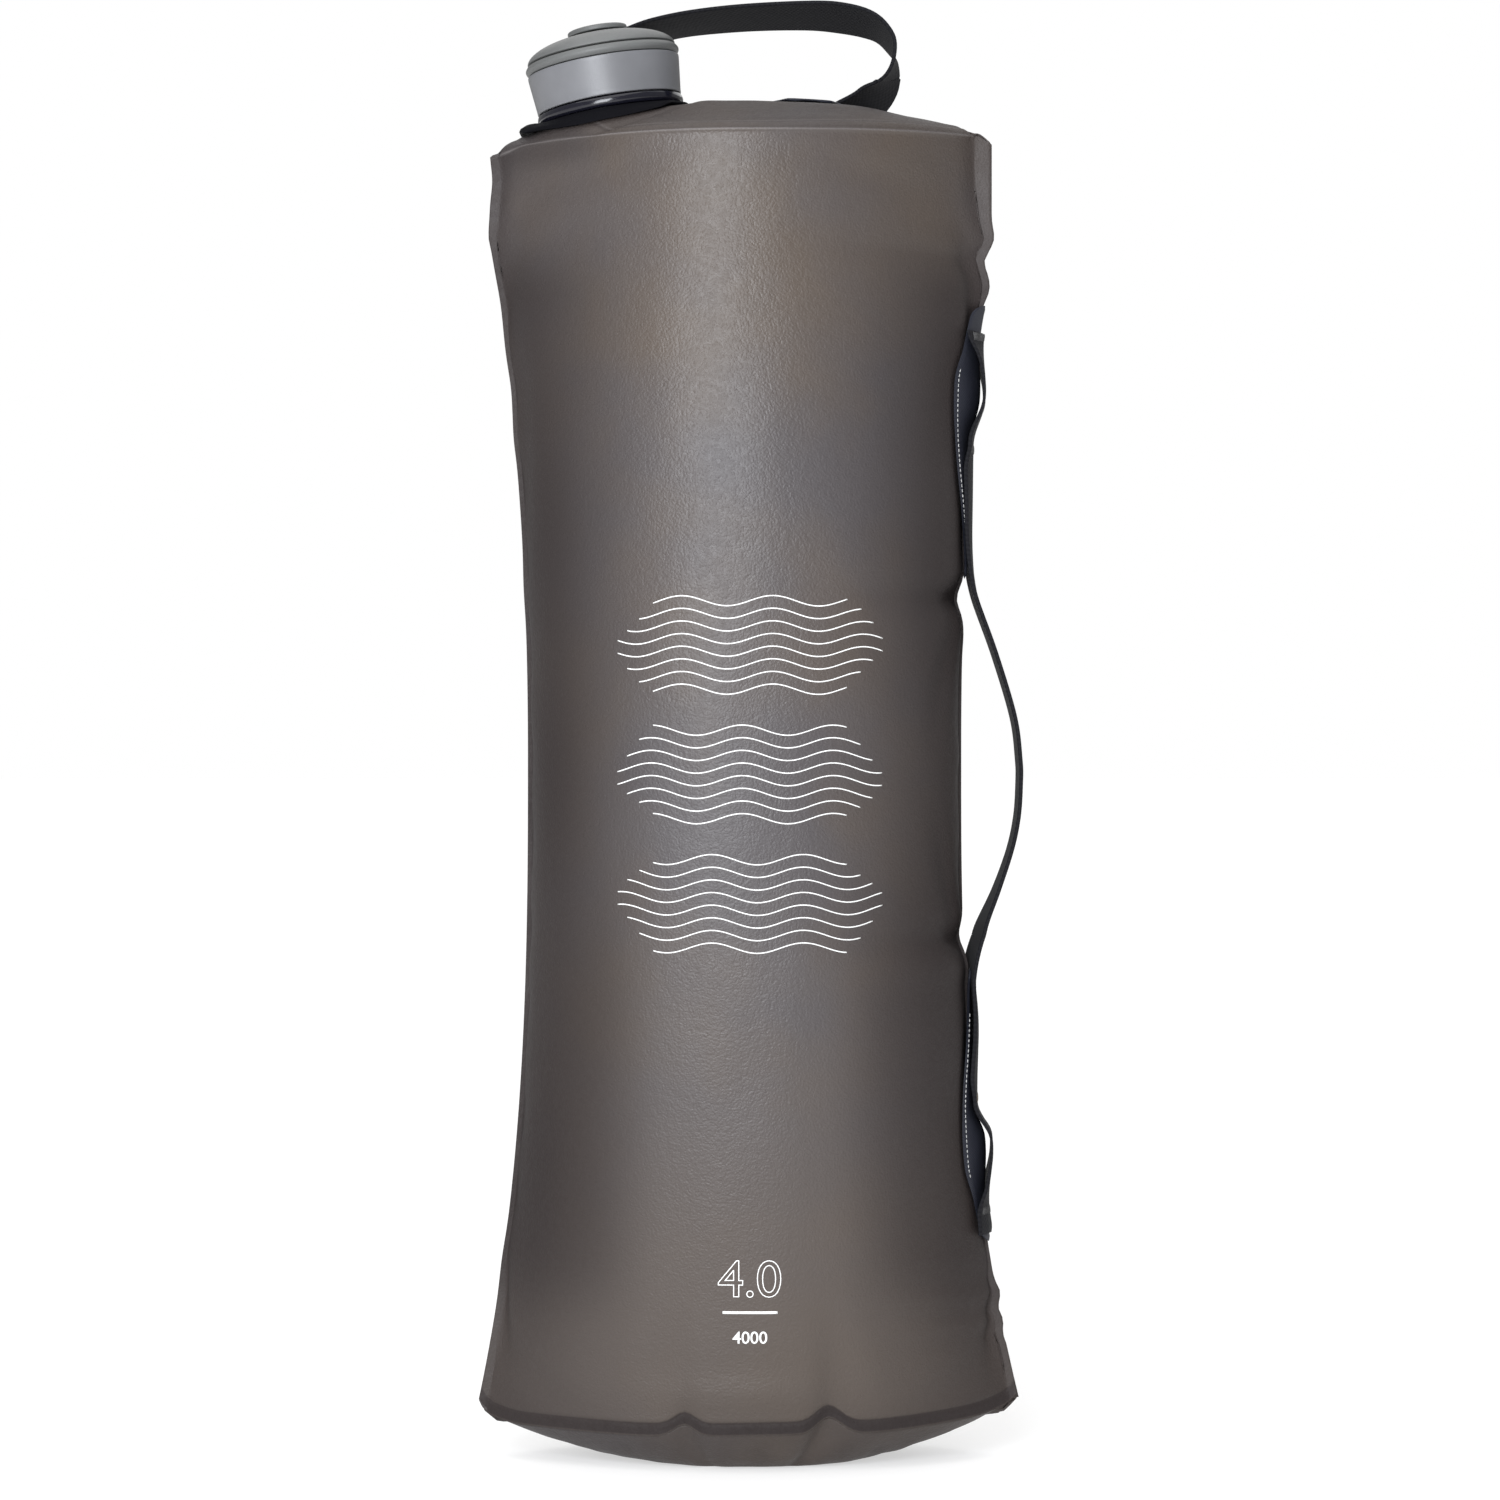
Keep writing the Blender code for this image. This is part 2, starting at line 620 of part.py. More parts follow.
def build_cap(axis, cap_grey, soft_grey, rubber):
    seal_low, seal_high, plate_low, plate_high = cap_levels()
    bore = NECK_RADIUS + THREAD_HEIGHT + THREAD_GAP
    ring_inner = GRIP_RADIUS - GRIP_DEPTH
    step_radius = ring_inner - SEAM_GAP
    low, high = THREAD_START, THREAD_START + THREAD_LENGTH
    port_hole = PORT_RADIUS + SEAM_GAP
    wall = [(port_hole, plate_high), (port_hole, plate_low), (bore, plate_low)]
    wall += list(reversed(thread_rows(bore, low, high)))
    wall += [(bore, SKIRT_LIFT), (SKIRT_FOOT_RADIUS - SKIRT_EDGE, SKIRT_LIFT),
             (SKIRT_FOOT_RADIUS, SKIRT_LIFT + SKIRT_EDGE),
             (SKIRT_TOP_RADIUS, RING_SEAT_HEIGHT - SEAM_GAP),
             (step_radius, RING_SEAT_HEIGHT - SEAM_GAP), (step_radius, plate_high)]
    bm = turned_solid(wall)
    cut_thread(bm, bore, -THREAD_HEIGHT, low, high, 0.5)
    add_object("cap_skirt", bm, cap_grey, axis)

    ring_low = RING_SEAT_HEIGHT
    ring_high = ring_low + GRIP_HEIGHT - SEAM_GAP
    ring = [(ring_inner, ring_high), (ring_inner, ring_low), (GRIP_RADIUS - GRIP_ROUND, ring_low),
            (GRIP_RADIUS, ring_low + GRIP_ROUND), (GRIP_RADIUS, ring_high - GRIP_ROUND),
            (GRIP_RADIUS - GRIP_ROUND, ring_high)]
    add_object("cap_grip_ring", turned_solid(ring), soft_grey, axis)

    cover_low = max(plate_high, ring_high) + SEAM_GAP
    hole = PORT_RADIUS + SEAM_GAP
    start = math.acos(hole / COVER_RADIUS)
    angles = [start * index / COVER_STEPS for index in range(COVER_STEPS + 1)]
    outer = [(COVER_RADIUS * math.cos(turn), cover_low + COVER_RISE * math.sin(turn))
             for turn in angles]
    wide, tall = COVER_RADIUS - COVER_WALL, COVER_RISE - COVER_WALL
    inner_start = math.acos(hole / wide)
    inner = [(wide * math.cos(inner_start * index / COVER_STEPS),
              cover_low + tall * math.sin(inner_start * index / COVER_STEPS))
             for index in range(COVER_STEPS + 1)]
    add_object("cap_top_cover", turned_solid(outer + inner[::-1]), soft_grey, axis)

    seal = [(SEAL_BORE_RADIUS, seal_high), (SEAL_BORE_RADIUS, seal_low),
            (bore - SEAM_GAP - THREAD_GAP, seal_low), (bore - SEAM_GAP - THREAD_GAP, seal_high)]
    add_object("cap_seal", turned_solid(seal), rubber, axis)

    port_top = cover_low + COVER_RISE * math.sin(start)
    port_low = plate_low - PORT_DROP
    flange_low = plate_high + SEAM_GAP
    flange_high = flange_low + PORT_FLANGE_THICKNESS
    port = [(PORT_BORE_RADIUS, port_top), (PORT_BORE_RADIUS, port_low), (PORT_RADIUS, port_low),
            (PORT_RADIUS, flange_low), (PORT_FLANGE_RADIUS, flange_low),
            (PORT_FLANGE_RADIUS, flange_high), (PORT_RADIUS, flange_high), (PORT_RADIUS, port_top)]
    add_object("port_seat", turned_solid(port), cap_grey, axis)

    head_low = port_top + SEAM_GAP
    head_high = head_low + PLUG_HEAD
    stem_low = head_low - PLUG_STEM_LENGTH
    groove = head_low - O_RING_DEPTH
    groove_radius = PLUG_STEM_RADIUS - O_RING_WIRE * 2
    groove_half = O_RING_WIRE + SEAM_GAP
    plug = [(0.0, head_high), (0.0, stem_low), (PLUG_STEM_RADIUS - PLUG_EDGE, stem_low),
            (PLUG_STEM_RADIUS, stem_low + PLUG_EDGE), (PLUG_STEM_RADIUS, groove - groove_half),
            (groove_radius, groove - groove_half), (groove_radius, groove + groove_half),
            (PLUG_STEM_RADIUS, groove + groove_half), (PLUG_STEM_RADIUS, head_low),
            (PLUG_RADIUS, head_low), (PLUG_RADIUS, head_high - PLUG_EDGE),
            (PLUG_RADIUS - PLUG_EDGE, head_high)]
    add_object("port_plug", turned_solid(plug), soft_grey, axis)

    centre = groove_radius + O_RING_WIRE + SEAM_GAP
    wire = [(centre + O_RING_WIRE * math.cos(turn), groove - O_RING_WIRE * math.sin(turn))
            for turn in (math.tau * index / O_RING_STEPS for index in range(O_RING_STEPS))]
    add_object("plug_o_ring", turned_solid(wire), rubber, axis)


# Bail over the top panel

def bail_path(bar, sewn):
    # Middle line and width directions, from the fold above the loop bar to the sewn end.
    along = bail_hinge(bar, sewn)
    up = Vector((0, 0, 1))
    up = (up - along * up.dot(along)).normalized()
    back = up.cross(along)
    main_leg = bar + up * BAIL_FOLD + back * WEB_THICKNESS / 2
    route = [main_leg]
    route += [bail_spot(bar, sewn, row) for row in range(len(BAIL_ROUTE_SHARES))]
    route.append(sewn)
    sides = [-along, *map(Vector, BAIL_WIDTH_SHARES), Vector((0, -1, 0))]
    steps = BAIL_SPAN_STEPS * (len(route) - 1)

    bend = LOOP_BAR_RADIUS + SEAM_GAP + WEB_THICKNESS / 2
    inner_leg = main_leg - back * (WEB_THICKNESS + SEAM_GAP)
    loop = [inner_leg, inner_leg.lerp(bar - back * bend, 0.5)]
    for step in range(LOOP_BEND_STEPS + 1):
        turn = math.pi * step / LOOP_BEND_STEPS
        loop.append(bar - back * bend * math.cos(turn) - up * bend * math.sin(turn))
    loop.append(main_leg.lerp(bar + back * bend, 0.5))
    loop_sides = [-along] * len(loop)
    return loop, loop_sides, smooth_track(route, steps), smooth_track(sides, steps), back


def build_bail(axis, web, patch_cloth, thread):
    bar, sewn = bail_ends(axis)
    loop, loop_sides, run, turned, back = bail_path(bar, sewn)
    cut = BAIL_SPAN_STEPS * (BAIL_CUT_ROW + 1)
    forward = (run[cut + 1] - run[cut - 1]).normalized()

    track = loop + run[:cut] + [run[cut] - forward * SEAM_GAP / 2]
    sides = loop_sides + turned[:cut + 1]
    bm = ribbon_solid(track, sides, WEB_WIDTH, WEB_THICKNESS)
    add_object("bail_strap", bm, web, origin=bar)

    lift = WEB_THICKNESS / 2 + SEAM_GAP + TACK_THICKNESS / 2
    pad = [loop[-1].lerp(run[0], share) + back * lift for share in (0.2, 0.5, 0.8)]
    bm = ribbon_solid(pad, loop_sides[:3], WEB_WIDTH - TACK_MARGIN * 2, TACK_THICKNESS)
    add_object("bail_loop_bartack", bm, thread, origin=bar)

    def anchor(u, v, depth):
        y = BAIL_PATCH_FRONT_Y + BAIL_PATCH_LENGTH * v
        x = BAIL_PATCH_X + PATCH_HALF_WIDTH * share_at(PATCH_OUTLINE_SHARES, v) * (u * 2 - 1)
        return Vector((x, y, patch_top_z(x, y) - PATCH_THICKNESS * depth))

    add_object("bail_anchor_patch", sheet_solid(PATCH_COLUMNS, PATCH_ROWS, anchor), patch_cloth)

    # The sewn end leaves the patch as a free strap and lies on it for the length of its tail.
    free = [run[cut] + forward * SEAM_GAP / 2] + run[cut + 1:]
    step = BAIL_TAIL_LENGTH / BAIL_TAIL_STEPS
    tail = [sewn - Vector((step * index, 0, 0)) for index in range(1, BAIL_TAIL_STEPS + 1)]
    middle = free + tail
    frames = ribbon_frames(middle, turned[cut:] + [Vector((0, -1, 0))] * BAIL_TAIL_STEPS)

    def sewn_end(u, v, depth):
        index = round(v * (len(middle) - 1))
        point, side, normal = frames[index]
        spot = point + side * WEB_WIDTH * (u - 0.5) + normal * WEB_THICKNESS * (0.5 - depth)
        seat = patch_top_z(spot.x, spot.y) + SEAM_GAP + WEB_THICKNESS * (1 - depth)
        spot.z += (seat - spot.z) * ease((index + 1) / len(free))
        return spot

    add_object("bail_sewn_end", sheet_solid(6, len(middle) - 1, sewn_end), web)

    def tack(u, v, depth):
        x = BAIL_END_X - TACK_WIDTH * (v + 1)
        y = BAIL_END_Y + (WEB_WIDTH / 2 - TACK_MARGIN) * (u * 2 - 1)
        z = patch_top_z(x, y) + SEAM_GAP * 2 + WEB_THICKNESS + TACK_THICKNESS * (1 - depth)
        return Vector((x, y, z))

    add_object("bail_end_bartack", sheet_solid(6, 2, tack), thread)


# Patches, lash loops and handle on the right side

def patch_z(tip, share):
    inward = -1 if tip > WAIST_HEIGHT else 1
    return tip + inward * PATCH_LENGTH * share


def web_seat_x(height):
    # Inner face of webbing that lies on a side patch.
    return side_x(height, 0.0, SEAM_GAP + PATCH_THICKNESS) + SEAM_GAP


def build_side_set(label, tip, handle_end, bow, peak, web, patch_cloth, thread):
    def patch(u, v, depth):
        z = patch_z(tip, v)
        y = PATCH_HALF_WIDTH * share_at(PATCH_OUTLINE_SHARES, v) * (u * 2 - 1)
        return Vector((side_x(z, y, SEAM_GAP + PATCH_THICKNESS * (1 - depth)), y, z))

    add_object(f"{label}_side_patch", sheet_solid(PATCH_COLUMNS, PATCH_ROWS, patch), patch_cloth)

    loop_low, loop_high = LASH_START_SHARE, LASH_END_SHARE
    end_share = (handle_end - tip) / (patch_z(tip, 1.0) - tip)
    gap_share = SEAM_GAP / PATCH_LENGTH / 2
    track = []
    for step in range(LASH_STEPS + 1):
        share = loop_low + (end_share - gap_share - loop_low) * step / LASH_STEPS
        z = patch_z(tip, share)
        lift = 0.0
        if share < loop_high:
            part = (share - loop_low) / (loop_high - loop_low)
            skew = part / peak / 2 if part < peak else 1 - (1 - part) / (1 - peak) / 2
            lift = bow * math.sin(math.pi * skew) ** 2
        free = ease((share - 1 + (1 - loop_high) / 2) / (end_share - 1 + (1 - loop_high) / 2))
        stand = HANDLE_STAND_OFF - SEAM_GAP * 2 - PATCH_THICKNESS - WEB_THICKNESS / 2
        x = web_seat_x(z) + WEB_THICKNESS / 2 + lift + stand * free
        track.append(Vector((x, 0.0, z)))
    across = [Vector((0, 1, 0))] * len(track)
    bm = ribbon_solid(track, across, WEB_WIDTH, WEB_THICKNESS)
    add_object(f"{label}_lash_loop", bm, web)

    def line(u, v, depth):
        share = STITCH_START_SHARE + (STITCH_END_SHARE - STITCH_START_SHARE) * v
        z = patch_z(tip, share)
        edge = PATCH_HALF_WIDTH * share_at(PATCH_OUTLINE_SHARES, share)
        y = -edge + STITCH_INSET - STITCH_WIDTH * u
        outset = SEAM_GAP * 2 + PATCH_THICKNESS + STITCH_THICKNESS * (1 - depth)
        return Vector((side_x(z, y, outset), y, z))

    def far_line(u, v, depth):
        return line(u, v, depth) * Vector((1, -1, 1))

    add_object(f"{label}_front_stitches", sheet_solid(1, PATCH_ROWS, line), thread)
    add_object(f"{label}_back_stitches", sheet_solid(1, PATCH_ROWS, far_line), thread)

    for name, middle in (("outer", loop_low), ("inner", loop_high)):
        reach = (TACK_WIDTH / 2 + SEAM_GAP) / PATCH_LENGTH
        centre = middle + reach if name == "inner" else middle + reach / 2

        def tack(u, v, depth):
            z = patch_z(tip, centre) + TACK_WIDTH * (v - 0.5)
            y = (WEB_WIDTH / 2 - TACK_MARGIN) * (u * 2 - 1)
            x = web_seat_x(z) + WEB_THICKNESS + SEAM_GAP + TACK_THICKNESS * (1 - depth)
            return Vector((x, y, z))

        add_object(f"{label}_{name}_bartack", sheet_solid(2, 2, tack), thread)


def handle_track():
    ends = []
    for height in (HANDLE_TOP_Z, HANDLE_BOTTOM_Z):
        ends.append(Vector((side_x(height, 0.0, 0.0) + HANDLE_STAND_OFF, 0.0, height)))
    ends[0].z -= SEAM_GAP / 2
    ends[1].z += SEAM_GAP / 2
    reach = (ends[0] - ends[1]).length * HANDLE_BOW_SHARE
    points = [ends[0].lerp(ends[1], share) + Vector((reach * bow, 0, 0))
              for share, bow in HANDLE_BOW_SHARES]
    return smooth_track(points, HANDLE_STEPS)


def build_handle(web):
    track = handle_track()
    across = [Vector((0, 1, 0))] * len(track)
    bm = ribbon_solid(track, across, WEB_WIDTH, WEB_THICKNESS)
    add_object("side_handle_strap", bm, web, origin=track[0].lerp(track[-1], 0.5))


def build():
    clear_scene()
    film = make_material("film", FILM_GREY, 0.35)
    neck_black = make_material("neck_black", NECK_BLACK, 0.18)
    flange_black = make_material("flange_black", FLANGE_BLACK, 0.6)
    cap_grey = make_material("cap_grey", CAP_GREY, 0.4)
    soft_grey = make_material("soft_grey", SOFT_GREY, 0.65)
    rubber = make_material("seal_rubber", RUBBER_GREY, 0.6)
    web = make_material("webbing", WEB_BLACK, 0.8)
    patch_cloth = make_material("patch_cloth", PATCH_NAVY, 0.8)
    thread = make_material("thread", THREAD_WHITE, 0.7)

    axis = bpy.data.objects.new("neck_axis", None)
    axis.location = (NECK_X, 0.0, NECK_Z)
    axis.rotation_euler = (0.0, -NECK_LEAN, 0.0)
    bpy.context.collection.objects.link(axis)
    bpy.context.view_layer.update()

    build_bag(film)
    build_neck(axis, neck_black, flange_black)
    build_strap_ring(axis, neck_black)
    build_cap(axis, cap_grey, soft_grey, rubber)
    build_bail(axis, web, patch_cloth, thread)
    build_side_set("upper", UPPER_PATCH_TIP_Z, HANDLE_TOP_Z, UPPER_LASH_BOW,
                   UPPER_LASH_PEAK_SHARE, web, patch_cloth, thread)
    build_side_set("lower", LOWER_PATCH_TIP_Z, HANDLE_BOTTOM_Z, LOWER_LASH_BOW,
                   LOWER_LASH_PEAK_SHARE, web, patch_cloth, thread)
    build_handle(web)


build()
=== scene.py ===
import math

import bmesh
import bpy
from mathutils import Matrix, Vector, noise


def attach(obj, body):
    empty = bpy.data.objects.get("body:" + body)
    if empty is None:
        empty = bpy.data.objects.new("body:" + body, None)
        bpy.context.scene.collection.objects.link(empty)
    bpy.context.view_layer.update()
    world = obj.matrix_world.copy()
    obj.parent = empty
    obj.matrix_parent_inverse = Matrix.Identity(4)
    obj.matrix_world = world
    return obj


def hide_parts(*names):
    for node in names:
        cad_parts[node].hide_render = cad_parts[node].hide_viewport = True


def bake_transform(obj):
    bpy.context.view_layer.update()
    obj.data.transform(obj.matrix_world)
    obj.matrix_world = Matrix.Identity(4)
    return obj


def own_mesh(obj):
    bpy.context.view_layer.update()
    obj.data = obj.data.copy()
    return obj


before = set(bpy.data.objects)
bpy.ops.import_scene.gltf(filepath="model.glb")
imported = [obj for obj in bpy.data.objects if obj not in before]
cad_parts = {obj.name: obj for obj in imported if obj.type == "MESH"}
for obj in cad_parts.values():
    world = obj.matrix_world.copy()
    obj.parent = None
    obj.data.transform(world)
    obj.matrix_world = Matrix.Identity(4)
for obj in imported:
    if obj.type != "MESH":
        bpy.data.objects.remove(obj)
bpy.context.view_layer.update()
mm = 0.001  # shapes are worked out in millimetres, and newPiece brings them to metres


# Helpers for shapes

joinWithin = {  # how near two points of a mesh are when they become one
    "turned": 0.001, "webbing": 0.001, "numbers": 0.002, "film": 0.003, "patch": 0.004, "flange": 0.004,
}
turning = {"segments": 144, "cornerSteps": 5, "cornerReach": 0.49}
stitchShape = {"sides": 7, "rings": 5, "overhang": 0.4}
webProfile = [  # half of a strap's outline, as shares of its width and thickness
    (-0.5, 0.0), (-0.499, 0.26), (-0.493, 0.40), (-0.482, 0.48), (-0.462, 0.5), (-0.40, 0.46), (-0.25, 0.47),
    (0.0, 0.47), (0.25, 0.47), (0.40, 0.46), (0.462, 0.5), (0.482, 0.48), (0.493, 0.40), (0.499, 0.26),
]


def mix(first, second, share):
    return first + (second - first) * share


def ease(share):
    share = min(max(share, 0.0), 1.0)
    return share * share * (3 - 2 * share)


def swell(value, middle, width):
    return math.exp(-((value - middle) / width) ** 2)


def ramp(value, start, run):
    # Eases from 0 at the start to 1 a run further on, and a negative run goes down
    return ease((value - start) / run)


def smoothPoint(a, b, c, d, t):
    # A Catmull-Rom curve's point between b and c
    return (b * 2 + (c - a) * t + (a * 2 - b * 5 + c * 4 - d) * t ** 2
            + (b * 3 - a - c * 3 + d) * t ** 3) / 2


def smoothTable(table, share):
    # Reads a smooth curve through (share, value) pairs
    spots = [Vector(row) for row in table]
    index = max(i for i in range(len(spots) - 1) if spots[i].x <= share or i == 0)
    ends = [spots[0] * 2 - spots[1], *spots, spots[-1] * 2 - spots[-2]]
    a, b, c, d = ends[index:index + 4]
    return smoothPoint(a, b, c, d, (share - b.x) / (c.x - b.x)).y


def smoothTrack(points, steps):
    # A smooth track through points
    ends = [points[0] * 2 - points[1], *points, points[-1] * 2 - points[-2]]
    track = []
    for step in range(steps + 1):
        place = step / steps * (len(points) - 1)
        index = min(int(place), len(points) - 2)
        track.append(smoothPoint(*ends[index:index + 4], place - index))
    return track


def metres(point):
    return tuple(Vector(point) * mm)


def newPiece(name, bm, finish, body, stands=(), place=None, sharp=40):
    # Turns a bmesh in millimetres into a piece that rides on a body
    if place is not None:
        bmesh.ops.transform(bm, matrix=place, verts=bm.verts)
    bmesh.ops.scale(bm, vec=(mm, mm, mm), verts=bm.verts)
    mesh = bpy.data.meshes.new(name)
    bm.to_mesh(mesh)
    bm.free()
    mesh.materials.append(finish.material)
    mesh.shade_smooth()
    mesh.set_sharp_from_angle(angle=math.radians(sharp))
    piece = bpy.data.objects.new(name, mesh)
    bpy.context.collection.objects.link(piece)
    if body:
        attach(piece, body)
    if stands:
        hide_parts(*stands)
    return piece


def thicken(piece, wall, offset=-1.0):
    solidify = piece.modifiers.new("wall", "SOLIDIFY")
    solidify.thickness = wall * mm
    solidify.offset = offset


def drawIn(piece):
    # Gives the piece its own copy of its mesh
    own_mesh(piece)


def addMesh(bm, part):
    # Moves what a second bmesh holds into the first one
    mesh = bpy.data.meshes.new("part")
    part.to_mesh(mesh)
    part.free()
    bm.from_mesh(mesh)
    bpy.data.meshes.remove(mesh)


def closeMesh(bm, near):
    # Merges the seam of a rolled-up grid, fills its two ends and turns its faces outwards
    bmesh.ops.remove_doubles(bm, verts=bm.verts, dist=near)
    bmesh.ops.holes_fill(bm, edges=[edge for edge in bm.edges if edge.is_boundary], sides=0)
    bmesh.ops.recalc_face_normals(bm, faces=bm.faces)


def gridMesh(columns, rows, place, attributes=(), size=(1.0, 1.0)):
    # A grid whose points place(u, v) puts in space; its UV map holds the flat size
    bm = bmesh.new()
    uvLayer = bm.loops.layers.uv.new("flat")
    layers = [bm.verts.layers.float.new(name) for name in attributes]
    bmesh.ops.create_grid(bm, x_segments=columns, y_segments=rows, size=0.5)
    for face in bm.faces:
        for loop in face.loops:
            loop[uvLayer].uv = ((loop.vert.co.x + 0.5) * size[0], (loop.vert.co.y + 0.5) * size[1])
    for vert in bm.verts:
        spot = place(vert.co.x + 0.5, vert.co.y + 0.5)
        if layers:
            spot, *values = spot
            for layer, value in zip(layers, values):
                vert[layer] = value
        vert.co = spot
    return bm


def roundCorners(outline):
    # An outline of (radius, height, rounding) corners, with its corners made round
    steps, most = turning["cornerSteps"], turning["cornerReach"]
    spots = []
    for index, (radius, height, rounding) in enumerate(outline):
        corner = Vector((radius, height))
        if not rounding:
            spots.append(corner)
            continue
        before = Vector(outline[index - 1][:2]) - corner
        after = Vector(outline[(index + 1) % len(outline)][:2]) - corner
        start = corner + before.normalized() * min(rounding, before.length * most)
        end = corner + after.normalized() * min(rounding, after.length * most)
        for step in range(steps + 1):
            t = step / steps
            spots.append(start * (1 - t) ** 2 + corner * 2 * t * (1 - t) + end * t * t)
    return spots


def turnedMesh(outline, segments=turning["segments"]):
    bm = bmesh.new()
    ring = [bm.verts.new((spot.x, 0, spot.y)) for spot in roundCorners(outline)]
    edges = [bm.edges.new(pair) for pair in zip(ring, ring[1:] + ring[:1])]
    bmesh.ops.spin(bm, geom=ring + edges, cent=(0, 0, 0), axis=(0, 0, 1), angle=math.tau,
                   steps=segments, use_merge=True)
    bmesh.ops.remove_doubles(bm, verts=bm.verts, dist=joinWithin["turned"])
    bmesh.ops.recalc_face_normals(bm, faces=bm.faces)
    return bm


def ribbonFrames(track, sides):
    frames = []
    for index, point in enumerate(track):
        forward = (track[min(index + 1, len(track) - 1)] - track[max(index - 1, 0)]).normalized()
        side = (sides[index] - forward * sides[index].dot(forward)).normalized()
        frames.append((point, side, forward.cross(side)))
    return frames


def ribbonMesh(track, sides, width, wall, settle=None):
    # Webbing with thick round selvedges along a track; settle(spot, off, index) lays it on what is below
    around = webProfile + [(-across, -off) for across, off in webProfile]
    frames = ribbonFrames(track, sides)
    lengths = [0.0]
    for before, after in zip(track, track[1:]):
        lengths.append(lengths[-1] + (after - before).length)

    def gridPlace(vert):
        column = round((vert.co.x + 0.5) * len(around)) % len(around)
        return column, round((vert.co.y + 0.5) * (len(track) - 1))

    bm = bmesh.new()
    uvLayer = bm.loops.layers.uv.new("flat")
    bmesh.ops.create_grid(bm, x_segments=len(around), y_segments=len(track) - 1, size=0.5)
    for face in bm.faces:
        for loop in face.loops:
            column, index = gridPlace(loop.vert)
            loop[uvLayer].uv = (around[column][0] * width, lengths[index])
    for vert in bm.verts:
        column, index = gridPlace(vert)
        across, off = around[column]
        point, side, normal = frames[index]
        spot = point + side * across * width + normal * off * wall
        vert.co = settle(spot, off * wall, index) if settle else spot
    closeMesh(bm, joinWithin["webbing"])
    return bm


def addStitch(bm, start, end, radius):
    # One stitch: a small long bead of thread
    along = end - start
    turn = along.to_track_quat("Z", "Y").to_matrix().to_4x4()
    size = Matrix.Diagonal((radius, radius, along.length / 2 + radius * stitchShape["overhang"], 1.0))
    bmesh.ops.create_uvsphere(bm, u_segments=stitchShape["sides"], v_segments=stitchShape["rings"],
                              radius=1.0, matrix=Matrix.Translation((start + end) / 2) @ turn @ size)


# Helpers for finishes

class Wire:
    # A socket that takes part in sums: each operator adds its Math node
    def __init__(self, finish, socket):
        self.finish = finish
        self.socket = socket

    def maths(self, operation, *terms):
        return self.finish.node("ShaderNodeMath", {"operation": operation}, dict(enumerate(terms)))

    def __add__(self, other):
        return self.maths("ADD", self, other)

    def __radd__(self, other):
        return self.maths("ADD", other, self)

    def __mul__(self, other):
        return self.maths("MULTIPLY", self, other)

    def __rmul__(self, other):
        return self.maths("MULTIPLY", other, self)

    def sine(self):
        return self.maths("SINE", self)


class Finish:
    def __init__(self, name, **fixed):
        self.material = bpy.data.materials.new(name)
        self.material.use_nodes = True
        self.tree = self.material.node_tree
        self.shader = self.tree.nodes["Principled BSDF"]
        self.spot = self.node("ShaderNodeTexCoord", output="Object")
        for socket, value in fixed.items():
            self.put(socket, value)

    def node(self, kind, settings=None, inputs=None, output=0):
        made = self.tree.nodes.new(kind)
        for setting, value in (settings or {}).items():
            if setting == "stops":
                ramp = made.color_ramp
                while len(ramp.elements) < len(value):
                    ramp.elements.new(1.0)
                for element, (position, colour) in zip(ramp.elements, value):
                    element.position = position
                    element.color = (*colour, 1.0)
            else:
                setattr(made, setting, value)
        for key, value in (inputs or {}).items():
            self.feed(made.inputs[key], value)
        return Wire(self, made.outputs[output])

    def feed(self, socket, value):
        if isinstance(value, Wire):
            self.tree.links.new(value.socket, socket)
        elif isinstance(value, tuple) and socket.type == "RGBA" and len(value) == 3:
            socket.default_value = (*value, 1.0)
        else:
            socket.default_value = value

    def put(self, socket, value):
        self.feed(self.shader.inputs[socket.replace("_", " ")], value)

    def blend(self, factor, first, second, how="MIX"):
        return self.node("ShaderNodeMix", {"data_type": "RGBA", "blend_type": how},
                         {0: factor, 6: first, 7: second}, output=2)

    def grain(self, scale, detail=2.0, stretch=None):
        spot = self.spot
        if stretch:
            spot = self.node("ShaderNodeMapping", None, {"Vector": spot, "Scale": stretch})
        return self.node("ShaderNodeTexNoise", None, {"Vector": spot, "Scale": scale, "Detail": detail})

    def range(self, value, low, high, fromLow=0.0, fromHigh=1.0):
        return self.node("ShaderNodeMapRange", {"clamp": True},
                         {"Value": value, "From Min": fromLow, "From Max": fromHigh,
                          "To Min": low, "To Max": high})

    def attribute(self, name):
        return self.node("ShaderNodeAttribute", {"attribute_name": name}, output="Fac")

    def relief(self, height, distance):
        return self.node("ShaderNodeBump", None, {"Height": height, "Distance": distance})

    def threads(self, spacing):
        # Two waves across and along the piece's flat size: the threads of a cloth
        flat = self.node("ShaderNodeUVMap", {"uv_map": "flat"})
        across = self.node("ShaderNodeSeparateXYZ", None, {0: flat})
        along = Wire(self, across.socket.node.outputs[1])
        return (across * (math.pi / spacing[0])).sine(), (along * (math.pi / spacing[1])).sine()


# Finishes

# The film's own tones are middle and warm. Side is the colour of painted shade, edge the colour of painted
# highlights, and warm also tints a painted glow.
filmLook = {
    "middle": (0.059, 0.052, 0.054), "warm": (0.073, 0.056, 0.045), "side": (0.0125, 0.0070, 0.0064),
    "edge": (0.170, 0.155, 0.152), "cloudScale": 14.0, "cloudSpan": (0.42, 0.66),
    "roughness": (0.42, 0.52), "sideRoughness": 0.3, "grainScale": 1400.0, "coarser": 3.1,
    "grainSpan": (0.35, 0.65), "fineDepth": 0.6, "coarseDepth": 0.4, "grainDepth": 0.0003,
}


